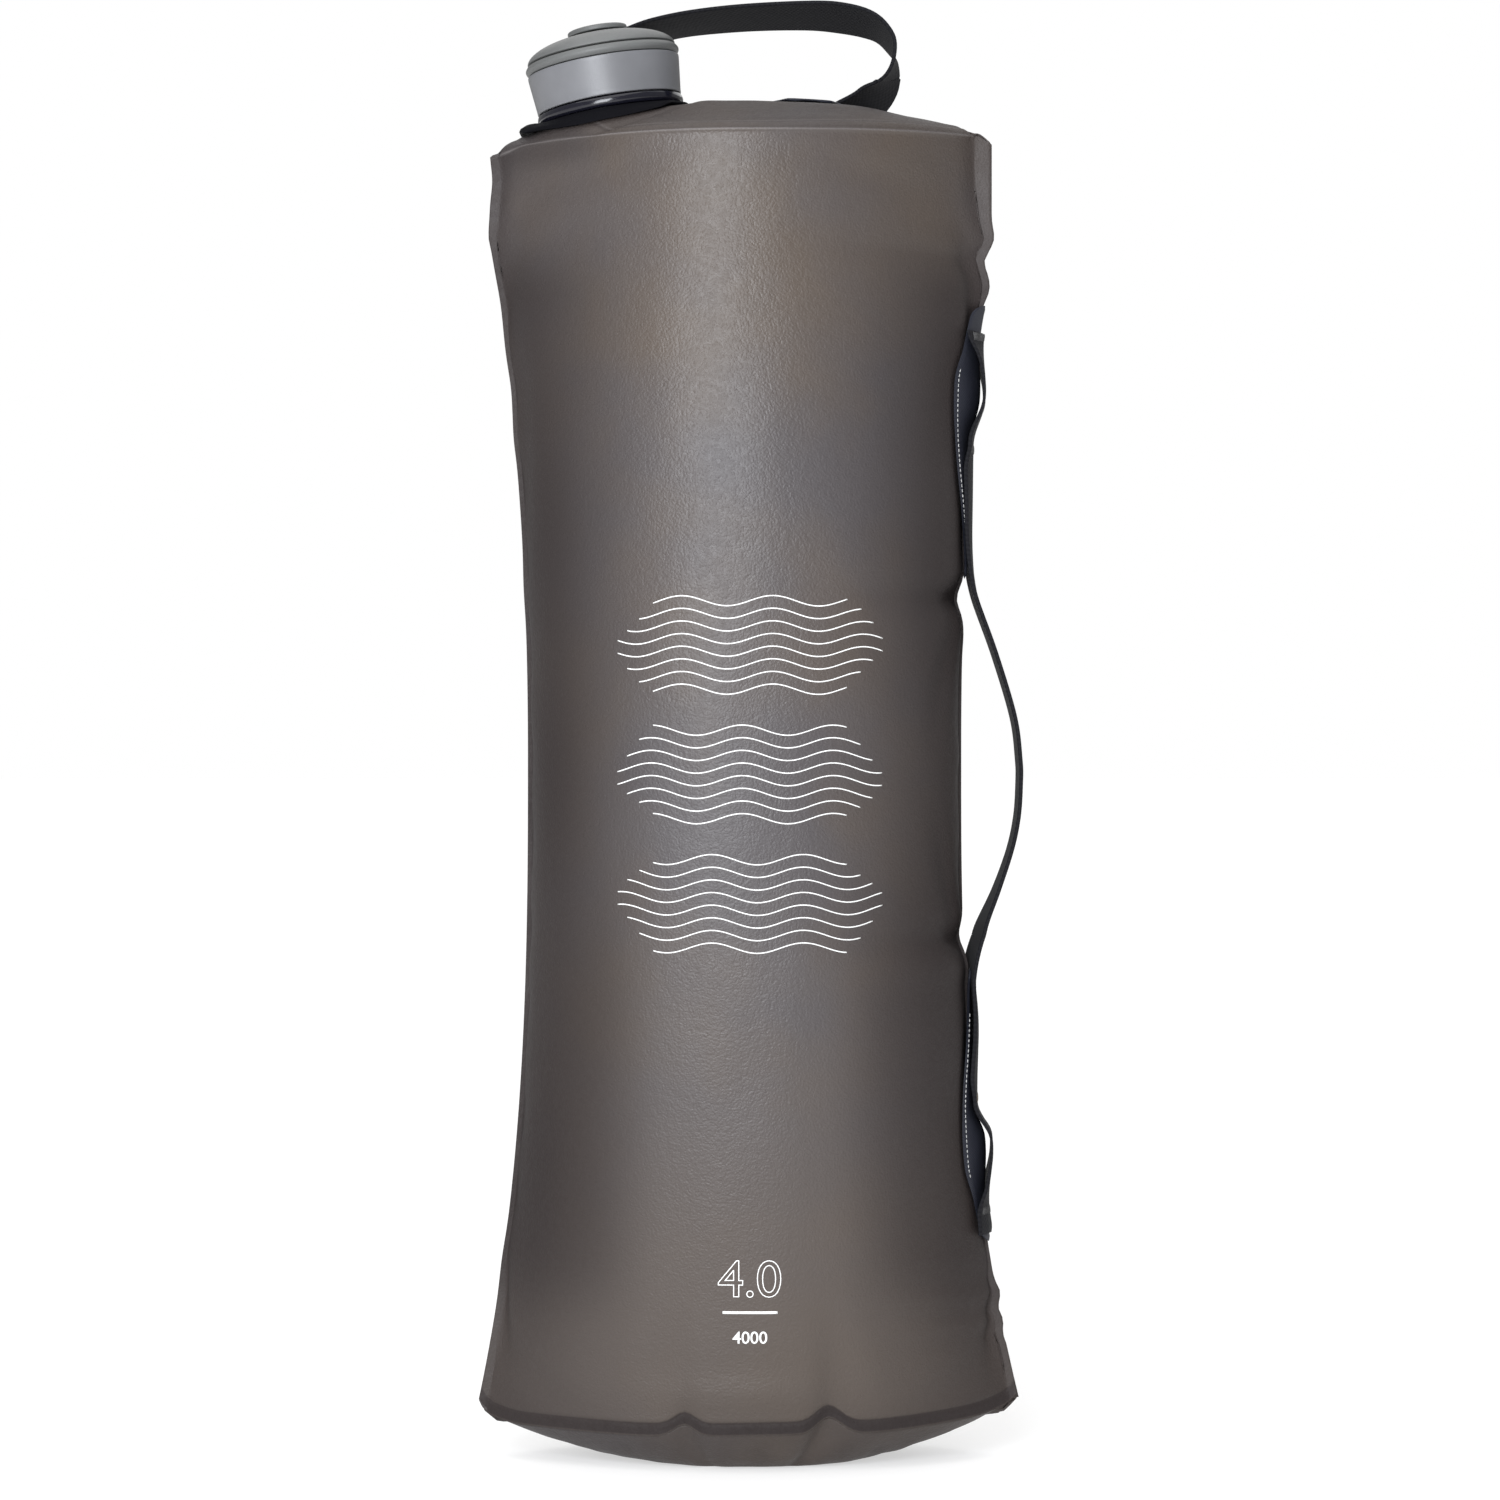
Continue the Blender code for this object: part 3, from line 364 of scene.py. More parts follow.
def makeFilm():
    look = filmLook
    film = Finish("smokyFilm", IOR=1.5)
    cloudy = film.grain(look["cloudScale"], 3.0)
    base = film.blend(film.range(cloudy, 0.0, 1.0, *look["cloudSpan"]), look["middle"], look["warm"])
    # Mixes in a painted warm glow of light through the film, painted shade and painted highlights
    for name, colour in (("warmth", "warm"), ("shade", "side"), ("rim", "edge")):
        base = film.blend(film.attribute(name), base, look[colour])
    film.put("Base_Color", base)
    fine = film.grain(look["grainScale"], 1.0)
    coarse = film.grain(look["grainScale"] / look["coarser"], 1.0)
    smooth = film.range(fine * 0.5 + coarse * 0.5, *look["roughness"], *look["grainSpan"])
    film.put("Roughness", smooth + film.attribute("shade") * look["sideRoughness"])
    grain = fine * look["fineDepth"] + coarse * look["coarseDepth"]
    film.put("Normal", film.relief(grain, look["grainDepth"]))
    return film


plasticLook = {"cloudScale": 60.0, "cloudSpan": (0.35, 0.65), "roughSpan": 0.05, "grainSpan": (0.3, 0.7)}


def makePlastic(name, colour, roughness, grainScale, grainDepth, tint=0.08, gloss=0.5):
    look = plasticLook
    plastic = Finish(name, Specular_IOR_Level=gloss)
    cloudy = plastic.range(plastic.grain(look["cloudScale"], 3.0), 0.0, 1.0, *look["cloudSpan"])
    darker, lighter = (tuple(value * (1 + change) for value in colour) for change in (-tint, tint))
    fine = plastic.grain(grainScale, 2.0)
    plastic.put("Base_Color", plastic.blend(cloudy, darker, lighter))
    plastic.put("Roughness", plastic.range(fine, roughness - look["roughSpan"], roughness + look["roughSpan"],
                                           *look["grainSpan"]))
    plastic.put("Normal", plastic.relief(fine, grainDepth))
    return plastic


webLook = {
    "yarn": (0.0095, 0.0095, 0.0120), "gap": (0.0055, 0.0055, 0.0072), "spacing": (1.05, 0.75),
    "depth": 0.00007, "raised": (0.15, 0.75), "fuzzScale": 3800.0, "fuzzShare": 0.2, "fuzzDepth": 0.35,
}


def makeWebbing():
    look = webLook
    web = Finish("webbing", Roughness=0.8, Specular_IOR_Level=0.16, Sheen_Weight=0.01, Sheen_Roughness=0.5)
    rib, pick = web.threads(look["spacing"])
    weave = rib * pick * 0.5 + 0.5
    fuzz = web.grain(look["fuzzScale"], 2.0)
    # Painted highlight on the raised yarn and painted shade in the gaps of the weave, with a random fuzz
    yarnLightAndFuzz = web.range(weave, 0.0, 1.0, *look["raised"]) * (1 - look["fuzzShare"]) + fuzz * look["fuzzShare"]
    web.put("Base_Color", web.blend(yarnLightAndFuzz, look["gap"], look["yarn"]))
    web.put("Normal", web.relief(weave + fuzz * look["fuzzDepth"], look["depth"]))
    return web


patchLook = {
    "face": (0.021, 0.023, 0.034), "deep": (0.012, 0.013, 0.019), "spacing": (0.42, 0.42), "depth": 0.00005,
    "cloudScale": 180.0, "roughness": (0.46, 0.62), "cloudSpan": (0.3, 0.7),
}


def makePatchCloth():
    look = patchLook
    cloth = Finish("patchCloth", Specular_IOR_Level=0.28)
    warp, weft = cloth.threads(look["spacing"])
    weave = warp * weft * 0.5 + 0.5
    cloudy = cloth.grain(look["cloudScale"], 3.0)
    # Painted shade in the weave's deep threads, lighter on its faces, mixed with a random cloudy tone
    cloth.put("Base_Color", cloth.blend(weave * 0.5 + cloudy * 0.5, look["deep"], look["face"]))
    cloth.put("Roughness", cloth.range(cloudy, *look["roughness"], *look["cloudSpan"]))
    cloth.put("Normal", cloth.relief(weave, look["depth"]))
    return cloth


threadLook = {"twistScale": 2400.0, "stretch": (1.0, 2.2, 1.0), "twistSpan": (0.35, 0.6), "depth": 0.00006}


def makeThread(name, light, dark):
    look = threadLook
    thread = Finish(name, Roughness=0.6, Sheen_Weight=0.2)
    twist = thread.grain(look["twistScale"], 1.0, look["stretch"])
    thread.put("Base_Color", thread.blend(thread.range(twist, 0.0, 1.0, *look["twistSpan"]), dark, light))
    thread.put("Normal", thread.relief(twist, look["depth"]))
    return thread


filmFinish = makeFilm()
# Colour, roughness, scale and depth of the grain
capFinish = makePlastic("capGrey", (0.140, 0.142, 0.152), 0.40, 2200.0, 0.00002)
softFinish = makePlastic("softGrey", (0.108, 0.111, 0.110), 0.52, 1800.0, 0.00004)
neckFinish = makePlastic("neckBlack", (0.007, 0.007, 0.012), 0.15, 900.0, 0.00002)
flangeFinish = makePlastic("flangeBlack", (0.0042, 0.0042, 0.0056), 0.62, 1600.0, 0.00003, gloss=0.03)
sealFinish = makePlastic("sealRubber", (0.07, 0.07, 0.075), 0.6, 1500.0, 0.00003)
inkFinish = makePlastic("whiteInk", (0.80, 0.80, 0.79), 0.5, 1400.0, 0.00001, tint=0.03)
webFinish = makeWebbing()
patchFinish = makePatchCloth()
threadFinish = makeThread("paleThread", (0.50, 0.50, 0.49), (0.24, 0.24, 0.24))
tackFinish = makeThread("tackThread", (0.034, 0.033, 0.034), (0.013, 0.013, 0.014))
tanFinish = makeThread("tanThread", (0.150, 0.120, 0.088), (0.050, 0.042, 0.034))
print("finishes made")


# The film bag's shape

bag = {
    "wall": 0.6, "topSeam": 397.4, "shoulder": 370.0, "waist": 212.0, "baseSeam": 18.0, "baseSag": 5.2,
    "left": (79.3, 67.6, 82.4), "right": (73.6, 64.3, 81.8),  # reach at the shoulder, the waist and the base
    "depth": (87.5, 101.0, 71.0), "upperPower": 2.2, "lowerPower": 2.75, "sectionPower": (0.5, 1.0),
    "finShare": 0.055, "seamGap": 0.3, "drawKeep": 0.8, "perDegree": 1.02,  # flat film for a degree round
    "fillet": 3.0, "filletTop": (335, 30), "filletBase": (60, -30), "filletLeast": 0.05,
    "frontGrid": (150, 240), "backGrid": (110, 180), "topGrid": (280, 46), "baseGrid": (280, 34),
    "fineBand": 9.0, "fineShare": 0.13, "weldBand": 3.0, "overlap": (0.2, 0.1),
    "foldEnd": 5, "calmReach": 14, "calmRim": (90, -6),
}
fins = {  # width of the flat weld at each side, and where it gains how much: start, run and gain
    -1: (1.5, ((340, 40, 0.8), (60, -30, 0.6))),
    1: (1.0, ((346, 10, 1.6), (362, 26, 2.4), (62, -12, 1.4))),
}
edgeWaves = {  # height, width and reach of the small bows in the two side edges
    -1: ((350, 9, -0.4), (325, 7, -0.4), (309, 6, 0.3), (264, 9, 0.3), (60, 9, 0.4), (372, 4, 0.3),
         (388, 6, -0.8)),
    1: ((371, 3.5, 0.8), (363.5, 3.0, -1.3), (355, 4.5, 1.5), (320, 28, -1.7), (261, 4.6, -2.0),
        (250, 5, 0.3), (158.5, 4.2, -1.4), (149, 5, 0.9), (128, 24, 1.0), (104, 22, -0.8), (50, 2.8, 1.2),
        (45, 1.8, -0.3), (41.5, 1.8, 0.5), (37, 2, -0.4)),
}
topLine = {  # the top weld drops at its two ends and climbs to the right between them
    "lift": 0.3, "leftEnd": (-67, -12), "leftDrop": 2.5, "climb": 4.2, "climbReach": 69, "climbPower": 1.6,
    "rightEnd": (69, 6), "rightDrop": 3.9,
}
# Depth, width, height and seeds of the film's soft unevenness
ripples = ((0.55, 34, 75, 4.0, 0), (0.22, 13, 26, 7.0, 3))
sideRipple = {
    "from": (73, 17), "depth": 0.5, "pitch": 27, "phase": 1.3, "swing": 2, "swingHeight": 40, "seed": 5,
}
weldMarks = {"topBead": (0.2, 0.6), "topRise": 0.4, "baseGroove": (3.4, 0.7), "grooveDepth": 0.35}
# Soft folds: degrees round the section, height, slant, length, width and depth
frontFolds = (
    (-74, 356, 58, 24, 8, -0.7), (-66, 376, 10, 13, 4, -0.4), (-76, 318, 84, 30, 7, -0.5),
    (76, 352, -66, 24, 7, -1.2), (64, 371, -8, 14, 4, -0.7), (83, 366, 0, 9, 2.2, -0.9),
    (80, 262, 8, 17, 4.5, -1.6), (80, 157, -6, 16, 4.2, -1.4), (70, 246, 68, 22, 6, -0.7),
    (70, 172, -68, 22, 6, -0.7), (-80, 44, -60, 20, 6, -0.8), (81, 43, 55, 18, 5, -0.9),
    (40, 384, -14, 30, 5, -0.35), (-38, 386, 10, 32, 5, -0.35), (-20, 30, 82, 16, 5, -0.9),
    (22, 29, 98, 15, 5, -0.9), (0, 24, 0, 22, 5, 0.5), (-56, 26, -30, 22, 5, -0.5),
    (58, 27, 28, 22, 5, -0.5),
)
backFolds = (
    (-78, 350, 64, 26, 7, -1.3), (74, 349, -64, 26, 7, -1.2), (80, 262, 6, 17, 4.5, -1.6),
    (80, 157, -6, 16, 4.2, -1.4), (-80, 48, -60, 22, 6, -0.9), (80, 46, 60, 20, 6, -0.9),
    (4, 30, 88, 18, 5, -1.0), (-36, 28, 70, 14, 5, -0.7), (38, 28, 108, 14, 5, -0.7),
    (10, 384, 4, 34, 5, -0.4), (-42, 380, 16, 24, 5, -0.5),
)
foldShape = {"trough": 0.9, "spread": 1.6, "widthReach": 3.2, "lengthReach": 2.4}
puckers = {  # middle, width and share of the puckers over the base weld, on the front and on the back
    -1: ((-19.5, 4.2, 0.8), (23.4, 5.0, 1.15)),
    1: ((4.0, 6.0, 1.0), (-38.0, 5.5, 0.7), (38.0, 5.5, 0.7)),
}
puckerLook = {"rise": 4.2, "pull": 2.0, "height": 13.0}
frontBaseSeam = (  # x and height of the front film's lower edge
    (-83, 18.4), (-80.8, 15.2), (-78, 12.8), (-71, 11.4), (-60, 11.2), (-45, 11.0), (-30, 10.9), (0, 11.7),
    (15, 11.8), (33, 11.5), (48, 12.1), (57, 12.8), (64, 13.4), (70, 14.2), (77, 15.9), (80, 17.9),
    (83, 21.0),
)


def flare(z):
    if z >= bag["waist"]:
        return min((z - bag["waist"]) / (bag["shoulder"] - bag["waist"]), 1.0) ** bag["upperPower"]
    return max((bag["waist"] - z) / (bag["waist"] - bag["baseSeam"]), 0.0) ** bag["lowerPower"]


def section(z):
    # Middle, half width, half depth and section power, without the waves of the side edges
    end = 0 if z >= bag["waist"] else 2
    share = flare(z)
    left, right, depth = (mix(bag[name][1], bag[name][end], share) for name in ("left", "right", "depth"))
    return (right - left) / 2, (right + left) / 2, depth / 2, mix(*bag["sectionPower"], min(share, 1.0))


def edgeWave(side, z):
    return sum(reach * swell(z, middle, width) for middle, width, reach in edgeWaves[side])


def finWidth(side, z):
    # The flat weld stands out past the round of the bag, but not under the patches
    width, gains = fins[side]
    return width + sum(gain * ramp(z, start, run) for start, run, gain in gains)


def topSeamZ(x):
    line = topLine
    level = bag["topSeam"] + line["lift"]
    if x < 0:
        return level - line["leftDrop"] * ramp(x, *line["leftEnd"])
    climb = line["climb"] * (x / line["climbReach"]) ** line["climbPower"]
    return level + climb - line["rightDrop"] * ramp(x, *line["rightEnd"])


def pucker(x, facing):
    return sum(share * swell(x, middle, width) for middle, width, share in puckers[facing])


def baseSeamZ(x, facing):
    rise = puckerLook["rise"] * pucker(x, facing)
    if facing < 0:
        return smoothTable(frontBaseSeam, x) + rise
    middle, half, _, _ = section(bag["baseSeam"])
    return bag["baseSeam"] - bag["baseSag"] * max(1 - ((x - middle) / half) ** 4, 0.0) + rise


def foldPush(flatX, z, facing):
    shape = foldShape
    push = 0.0
    for degrees, height, slant, length, width, depth in (frontFolds if facing < 0 else backFolds):
        dx, dz = flatX - degrees * bag["perDegree"], z - height
        angle = math.radians(slant)
        along = (dx * math.cos(angle) + dz * math.sin(angle)) / length
        off = (dz * math.cos(angle) - dx * math.sin(angle)) / width
        if abs(off) < shape["widthReach"] and abs(along) < shape["lengthReach"]:
            ridge = (1 - shape["trough"] * off ** 2) * math.exp(-off ** 2 / shape["spread"])
            push += depth * ridge * math.exp(-along ** 2)
    return push


def ripplePush(flatX, z, degrees, side, facing):
    # Soft unevenness of the film, and short waves where it runs into the side weld
    push = sum(depth * noise.noise(Vector((flatX / width, z / height, facing * seed + shift)))
               for depth, width, height, seed, shift in ripples)
    start, run = sideRipple["from"]
    near = max((degrees - start) / run, 0.0)
    swing = noise.noise(Vector((z / sideRipple["swingHeight"], side, sideRipple["seed"])))
    phase = side * sideRipple["phase"] + swing * sideRipple["swing"]
    wave = math.sin(z / sideRipple["pitch"] * math.tau + phase)
    return push + near * near * sideRipple["depth"] * wave


def filmSpot(across, z, facing, lift=0.0):
    # across runs from -1 at the left edge to 1 at the right one, and facing is -1 on the front film
    side = 1 if across > 0 else -1
    middle, half, halfDepth, power = section(z)
    half += edgeWave(side, z)
    fin, finShare = finWidth(side, z), bag["finShare"]
    share = abs(across) / (1 - finShare)
    turn = min(share, 1.0) * math.pi / 2
    bulge = max(math.cos(turn), 0.0) ** (2 * power)
    x = middle + side * (half - fin) * math.sin(turn)
    inside = halfDepth * bulge
    fillet = bag["fillet"] * (ramp(z, *bag["filletTop"]) + ramp(z, *bag["filletBase"]))
    if fillet > bag["filletLeast"]:  # near the corners the round runs softly into the weld
        inside *= 1 - math.exp(-inside / fillet)
    y = inside + bag["seamGap"] / 2 + bag["wall"] * (1 - bulge)
    if share > 1:  # the flat weld past the round of the bag
        return Vector((x + side * fin * (share - 1) * (1 - finShare) / finShare, facing * (y + lift), z))
    degrees = math.degrees(turn)
    flatX = degrees * side * bag["perDegree"]
    fromTop = topSeamZ(x) - z
    fromBase = z - baseSeamZ(x, facing)
    push = foldPush(flatX, z, facing) * ease(fromTop / bag["foldEnd"])
    push += ripplePush(flatX, z, degrees, side, facing) * ease(min(fromTop, fromBase) / bag["calmReach"])
    push += weldMarks["topRise"] * swell(fromTop, *weldMarks["topBead"])
    push -= weldMarks["grooveDepth"] * swell(fromBase, *weldMarks["baseGroove"])
    push -= puckerLook["pull"] * pucker(x, facing) * math.exp(-max(fromBase, 0.0) / puckerLook["height"])
    push *= ramp(degrees, *bag["calmRim"])
    reach = max(y + push * math.cos(turn) + lift, bag["seamGap"] / 2)
    return Vector((x + push * math.sin(turn) * side, facing * reach, z))


filmTone = {  # where painted shade darkens the film, painted highlights lighten it and a painted glow warms it: a pair is a start and a run, or a middle and a width
    "flank": (0.16, 0.56), "flankLevel": (0.92, 0.16), "flankHeight": 60, "flankSeed": 2,
    "shoulder": (350, 28), "shoulderLight": 0.78, "corner": (0.72, 0.2), "cornerDark": 0.6,
    "foot": (70, -50), "footLight": 0.35,
    "flangeHeight": (386, 9), "flangeSide": (-0.2, -0.3), "flangeShade": 0.5,
    "lowHeight": (195, -60), "lowFoot": (40, 25), "lowFlank": (0.2, 0.3), "lowShade": 0.45,
    "baseDark": 0.4, "baseFade": 9, "bandStart": (-0.3, 0.6), "bandEnd": (2.9, 0.9), "bandEdge": (3.4, 0.6),
    "rim": (0.9, 0.14), "rimHighlight": (0.05, 0.03, 0.06), "rimTop": (345, 20), "patchySide": 3, "patchyHeight": 17,
    "topHighlight": 0.6, "topLine": (-0.05, 0.26), "topEnd": (0.75, 0.2), "topFade": 0.6,
    "glowSpots": ((0.9, (374, 30), (0.52, 0.2)), (0.35, (378, 26), (-0.55, 0.2))),
    "lowGlow": (170, -130), "lowGlowLevel": 0.75,
}


def filmShade(across, z, facing):
    # Painted shade on the round of the side, below the flange and over the base weld, painted highlights on the
    # welds, and a painted warm glow of light through the film
    tone = filmTone
    side = 1 if across > 0 else -1
    share = abs(across) / (1 - bag["finShare"])
    low, high = seamHeights(across, facing)
    # Painted shade, growing towards the round of the sides and unevenly strong, with less of it near the
    # shoulders and the foot but more kept at the top corners' edges
    level, unevenShade = tone["flankLevel"]
    shade = level + unevenShade * noise.noise(Vector((side, z / tone["flankHeight"], tone["flankSeed"])))
    shade *= ramp(share, *tone["flank"])
    corner = tone["shoulderLight"] * ramp(z, *tone["shoulder"])
    corner *= 1 - tone["cornerDark"] * ramp(share, *tone["corner"])
    shade *= 1 - corner - tone["footLight"] * ramp(z, *tone["foot"])
    # Painted shade on the top left, just below the neck's flange
    dark = tone["flangeShade"] * ramp(z, *tone["flangeHeight"]) * ramp(across, *tone["flangeSide"])
    shade += dark * (1 - shade)
    # More painted shade on the lower flanks
    lower = ramp(z, *tone["lowHeight"]) * ramp(z, *tone["lowFoot"]) * ramp(share, *tone["lowFlank"])
    shade = 1 - (1 - shade) * (1 - tone["lowShade"] * lower)
    # Darker towards the base seam
    shade += tone["baseDark"] * math.exp(-max(z - low, 0.0) / tone["baseFade"]) * (1 - shade)
    # A dark band over the base weld, part painted shadow in its crease and part the weld's doubled film, and a
    # painted shadow line in the groove above it
    band = ramp(z - low, *tone["bandStart"]) * (1 - ramp(z - low, *tone["bandEnd"]))
    shade = max(shade, band, swell(z - low, *tone["bandEdge"]))
    # Painted highlight on the flat side welds, patchy, stronger at the top right and weaker at the top left, and
    # a painted highlight along the top seam's edge
    least, topGain, patchyHighlight = tone["rimHighlight"]
    rim = least + topGain * side * ramp(z, *tone["rimTop"])
    rim += patchyHighlight * noise.noise(Vector((side * tone["patchySide"], z / tone["patchyHeight"], facing)))
    rim *= ramp(share, *tone["rim"])
    fade = 1 - tone["topFade"] * ramp(share, *tone["topEnd"])
    rim += tone["topHighlight"] * swell(z - high, *tone["topLine"]) * fade
    # Painted warm glow of light through the film, at the top corners and low down
    warmth = sum(gain * swell(z, *height) * swell(across, *width) for gain, height, width in tone["glowSpots"])
    warmth += tone["lowGlowLevel"] * ramp(z, *tone["lowGlow"])
    return max(shade, 0.0), max(rim, 0.0), min(warmth, 1.0)


def seamHeights(across, facing):
    # Heights of the film's lower and upper edges, read where the film meets them
    low = baseSeamZ(filmSpot(across, bag["baseSeam"], facing).x, facing)
    high = topSeamZ(filmSpot(across, bag["topSeam"] - 1, facing).x)
    return low, high


def rowHeight(low, high, share):
    # Fine rows along the two seams, wider ones between them
    band, part = bag["fineBand"], bag["fineShare"]
    if share < part:
        return low + band * share / part
    if share > 1 - part:
        return high - band * (1 - share) / part
    return mix(low + band, high - band, (share - part) / (1 - part * 2))


def seamRing(share):
    # Once round a seam: along the front film from left to right, and back along the other one
    return (share * 4 - 1, -1) if share <= 0.5 else (3 - share * 4, 1)


def newFilm(name, bm, node):
    piece = newPiece(name, bm, filmFinish, "bag", [node], sharp=70)
    thicken(piece, bag["wall"])
    drawIn(piece)


def newEndFilm(name, bm, node, facing):
    # The top or the bottom film, with its skin turned up or down
    bmesh.ops.remove_doubles(bm, verts=bm.verts, dist=joinWithin["film"])
    bmesh.ops.recalc_face_normals(bm, faces=bm.faces)
    if sum(face.normal.z for face in bm.faces) * facing < 0:
        bmesh.ops.reverse_faces(bm, faces=bm.faces)
    newFilm(name, bm, node)


def makeSideFilms():
    for name, node, facing in (("frontFilm", "front_panel", -1), ("backFilm", "back_panel", 1)):
        def place(u, v):
            across = (1 - u * 2) * facing
            low, high = seamHeights(across, facing)
            z = rowHeight(low - bag["overlap"][0], high - bag["overlap"][1], v)
            return (filmSpot(across, z, facing), *filmShade(across, z, facing))

        bm = gridMesh(*bag["frontGrid" if facing < 0 else "backGrid"], place, ("shade", "rim", "warmth"))
        newFilm(name, bm, node)


neck = {
    "x": -41.9, "z": 406.1, "lean": math.radians(9.5), "flat": (22.0, 8.0), "radius": 19.3,
    "bore": 17.2, "height": 15.6, "foot": 21.5, "footWall": 1.2, "flange": 28.5, "flangeWall": 1.3,
    "threadStart": 6.4, "threadLength": 7.2, "threadPitch": 4.0, "threadHeight": 1.1, "threadRows": 40,
}
neckFrame = Matrix.Translation((neck["x"], 0, neck["z"])) @ Matrix.Rotation(-neck["lean"], 4, "Y")
dome = {
    "rise": 13.7, "neckSag": (0.4, -0.15, -0.45), "rightSag": (0.1, 0.45, 0.4), "skin": 0.45, "lift": 0.75,
    "cornerX": -79.2, "cornerZ": 395.9, "cornerSlope": 0.59,
}


def rimDepth(x):
    # Half depth of the top panel at x
    middle, half, halfDepth, _ = section(bag["topSeam"])
    half -= finWidth(-1, bag["topSeam"])
    return max(halfDepth * (1 - ((x - middle) / half) ** 2), bag["wall"] + bag["seamGap"])


def domeZ(x, y):
    # Upper skin of the top panel; the disc round the neck is flat and square to the neck's axis
    middle, half, _, _ = section(bag["topSeam"])
    t = min(max((x - middle) / (half - finWidth(-1, bag["topSeam"])), -1.0), 1.0)
    sag = sum(share * ramp(t, start, run) for share, start, run in (dome["neckSag"], dome["rightSag"]))
    crest = dome["rise"] * math.sqrt(1 - t * t) * (1 - sag)
    seam = topSeamZ(x) + dome["skin"]
    slope = dome["cornerZ"] + (x - dome["cornerX"]) * dome["cornerSlope"]
    level = max(min(bag["topSeam"] + dome["lift"] + crest, slope), seam)
    height = mix(seam, level, max(1 - (y / rimDepth(x)) ** 2, 0.0))
    disc = neck["z"] + (x - neck["x"]) * math.tan(neck["lean"])
    distance = math.hypot((x - neck["x"]) / math.cos(neck["lean"]), y)
    return mix(disc, height, ramp(distance, *neck["flat"]))


topFilm = {
    "holeInset": 4.0, "holeRoom": 1.0, "bandReach": 1.6, "bandMost": 0.6, "bandRows": 0.3,
    "wideDepth": 10, "seamReach": 12, "bulge": 0.8, "bulgeRise": 2.2, "bulgeFall": 13, "edgeReach": 0.8,
    "groove": 0.32, "grooveAt": (0.3, 0.5), "flangeDip": 0.35, "dipRun": 3, "flangeCalm": 5,
    "calmLength": 6, "calmInset": (2, 8),
    "ray": 0.35, "rays": 9, "rayTurn": 0.6, "rayAt": (34, 9),
    "wave": 0.6, "waveSize": (22, 16), "waveSeed": 9,
    "rest": ((18.0, 17.0), (13.0, 28.0)),  # it lies smooth under the bail's patch
    # The dome's painted shade, deeper towards its ends and in the groove past the weld band and less over the
    # band, and painted highlights along the seam's edge and past the band
    "shade": 0.58, "endShade": 0.12, "endFrom": (0.6, 0.4), "lineShade": 0.2, "lineAt": (0.2, 0.4),
    "bandLight": 0.15, "bandAt": (0.5, 1.0), "rim": 0.7, "rimFrom": (0.05, 0.35), "rimEnd": 0.6,
    "rimEndFrom": (0.75, 0.2), "glint": 0.2, "glintAt": (0.75, 0.3),
}


def makeTopFilm():
    look = topFilm
    weld = bag["weldBand"]

    def skinHeight(spot, inset, length, rim, angle):
        away = math.hypot(spot.x - neck["x"], spot.y)
        clear = ramp(away, neck["flange"], look["flangeCalm"])
        wide = ease(rimDepth(spot.x) / look["wideDepth"]) * clear
        nearSeam = ease(1 - inset / min(length, look["seamReach"]))
        height = domeZ(spot.x, spot.y) + (rim.z + dome["skin"] - domeZ(rim.x, rim.y)) * nearSeam
        bulge = ease(inset / look["bulgeRise"]) * (1 - ramp(inset, weld, look["bulgeFall"]))
        grooveAt, grooveWidth = look["grooveAt"]
        height += wide * (look["bulge"] * bulge - look["groove"] * swell(inset, weld + grooveAt, grooveWidth))
        height -= dome["skin"] * (1 - ease(inset / look["edgeReach"]))
        height -= look["flangeDip"] * (1 - ramp(away, neck["flange"], look["dipRun"]))
        calm = ease((length - inset) / look["calmLength"]) * ramp(inset, *look["calmInset"]) * clear
        restX, restY = look["rest"]
        calm *= 1 - swell(spot.x, *restX) * swell(spot.y, *restY)
        ray = look["ray"] * math.sin(angle * look["rays"] + look["rayTurn"]) * swell(away, *look["rayAt"])
        waveX, waveY = look["waveSize"]
        wave = look["wave"] * noise.noise(Vector((spot.x / waveX, spot.y / waveY, look["waveSeed"])))
        return height + calm * (ray + wave)

    # Painted shade and painted highlights of the top film, with no painted glow
    def tones(across, inset):
        share = abs(across) / (1 - bag["finShare"])
        shade = look["shade"] + look["endShade"] * ramp(share, *look["endFrom"])
        shade += look["lineShade"] * swell(inset, weld + look["lineAt"][0], look["lineAt"][1])
        shade -= look["bandLight"] * swell(inset, weld * look["bandAt"][0], look["bandAt"][1])
        light = look["rim"] * (1 - ramp(inset, *look["rimFrom"]))
        light *= 1 - look["rimEnd"] * ramp(share, *look["rimEndFrom"])
        return shade, light + look["glint"] * swell(inset, weld + look["glintAt"][0], look["glintAt"][1]), 0.0

    def place(u, v):
        across, facing = seamRing(u)
        rim = filmSpot(across, seamHeights(across, facing)[1], facing)
        angle = math.atan2(rim.y, rim.x - neck["x"])
        room = math.hypot(rim.y, rim.x - neck["x"]) - look["holeRoom"]
        hole = min(neck["flange"] - look["holeInset"], room)
        startX = neck["x"] + hole * math.cos(angle) * math.cos(neck["lean"])
        start = Vector((startX, hole * math.sin(angle), 0))
        length = math.hypot(rim.x - start.x, rim.y - start.y)
        band = min(weld * look["bandReach"], length * look["bandMost"])  # fine rows over the weld
        rows = look["bandRows"]
        inset = band * (1 - v) / rows if v > 1 - rows else length - (length - band) * v / (1 - rows)
        spot = start.lerp(rim, 1 - inset / length)
        return (Vector((spot.x, spot.y, skinHeight(spot, inset, length, rim, angle))), *tones(across, inset))

    bm = gridMesh(*bag["topGrid"], place, ("shade", "rim", "warmth"))
    newEndFilm("topFilm", bm, "top_panel", 1)


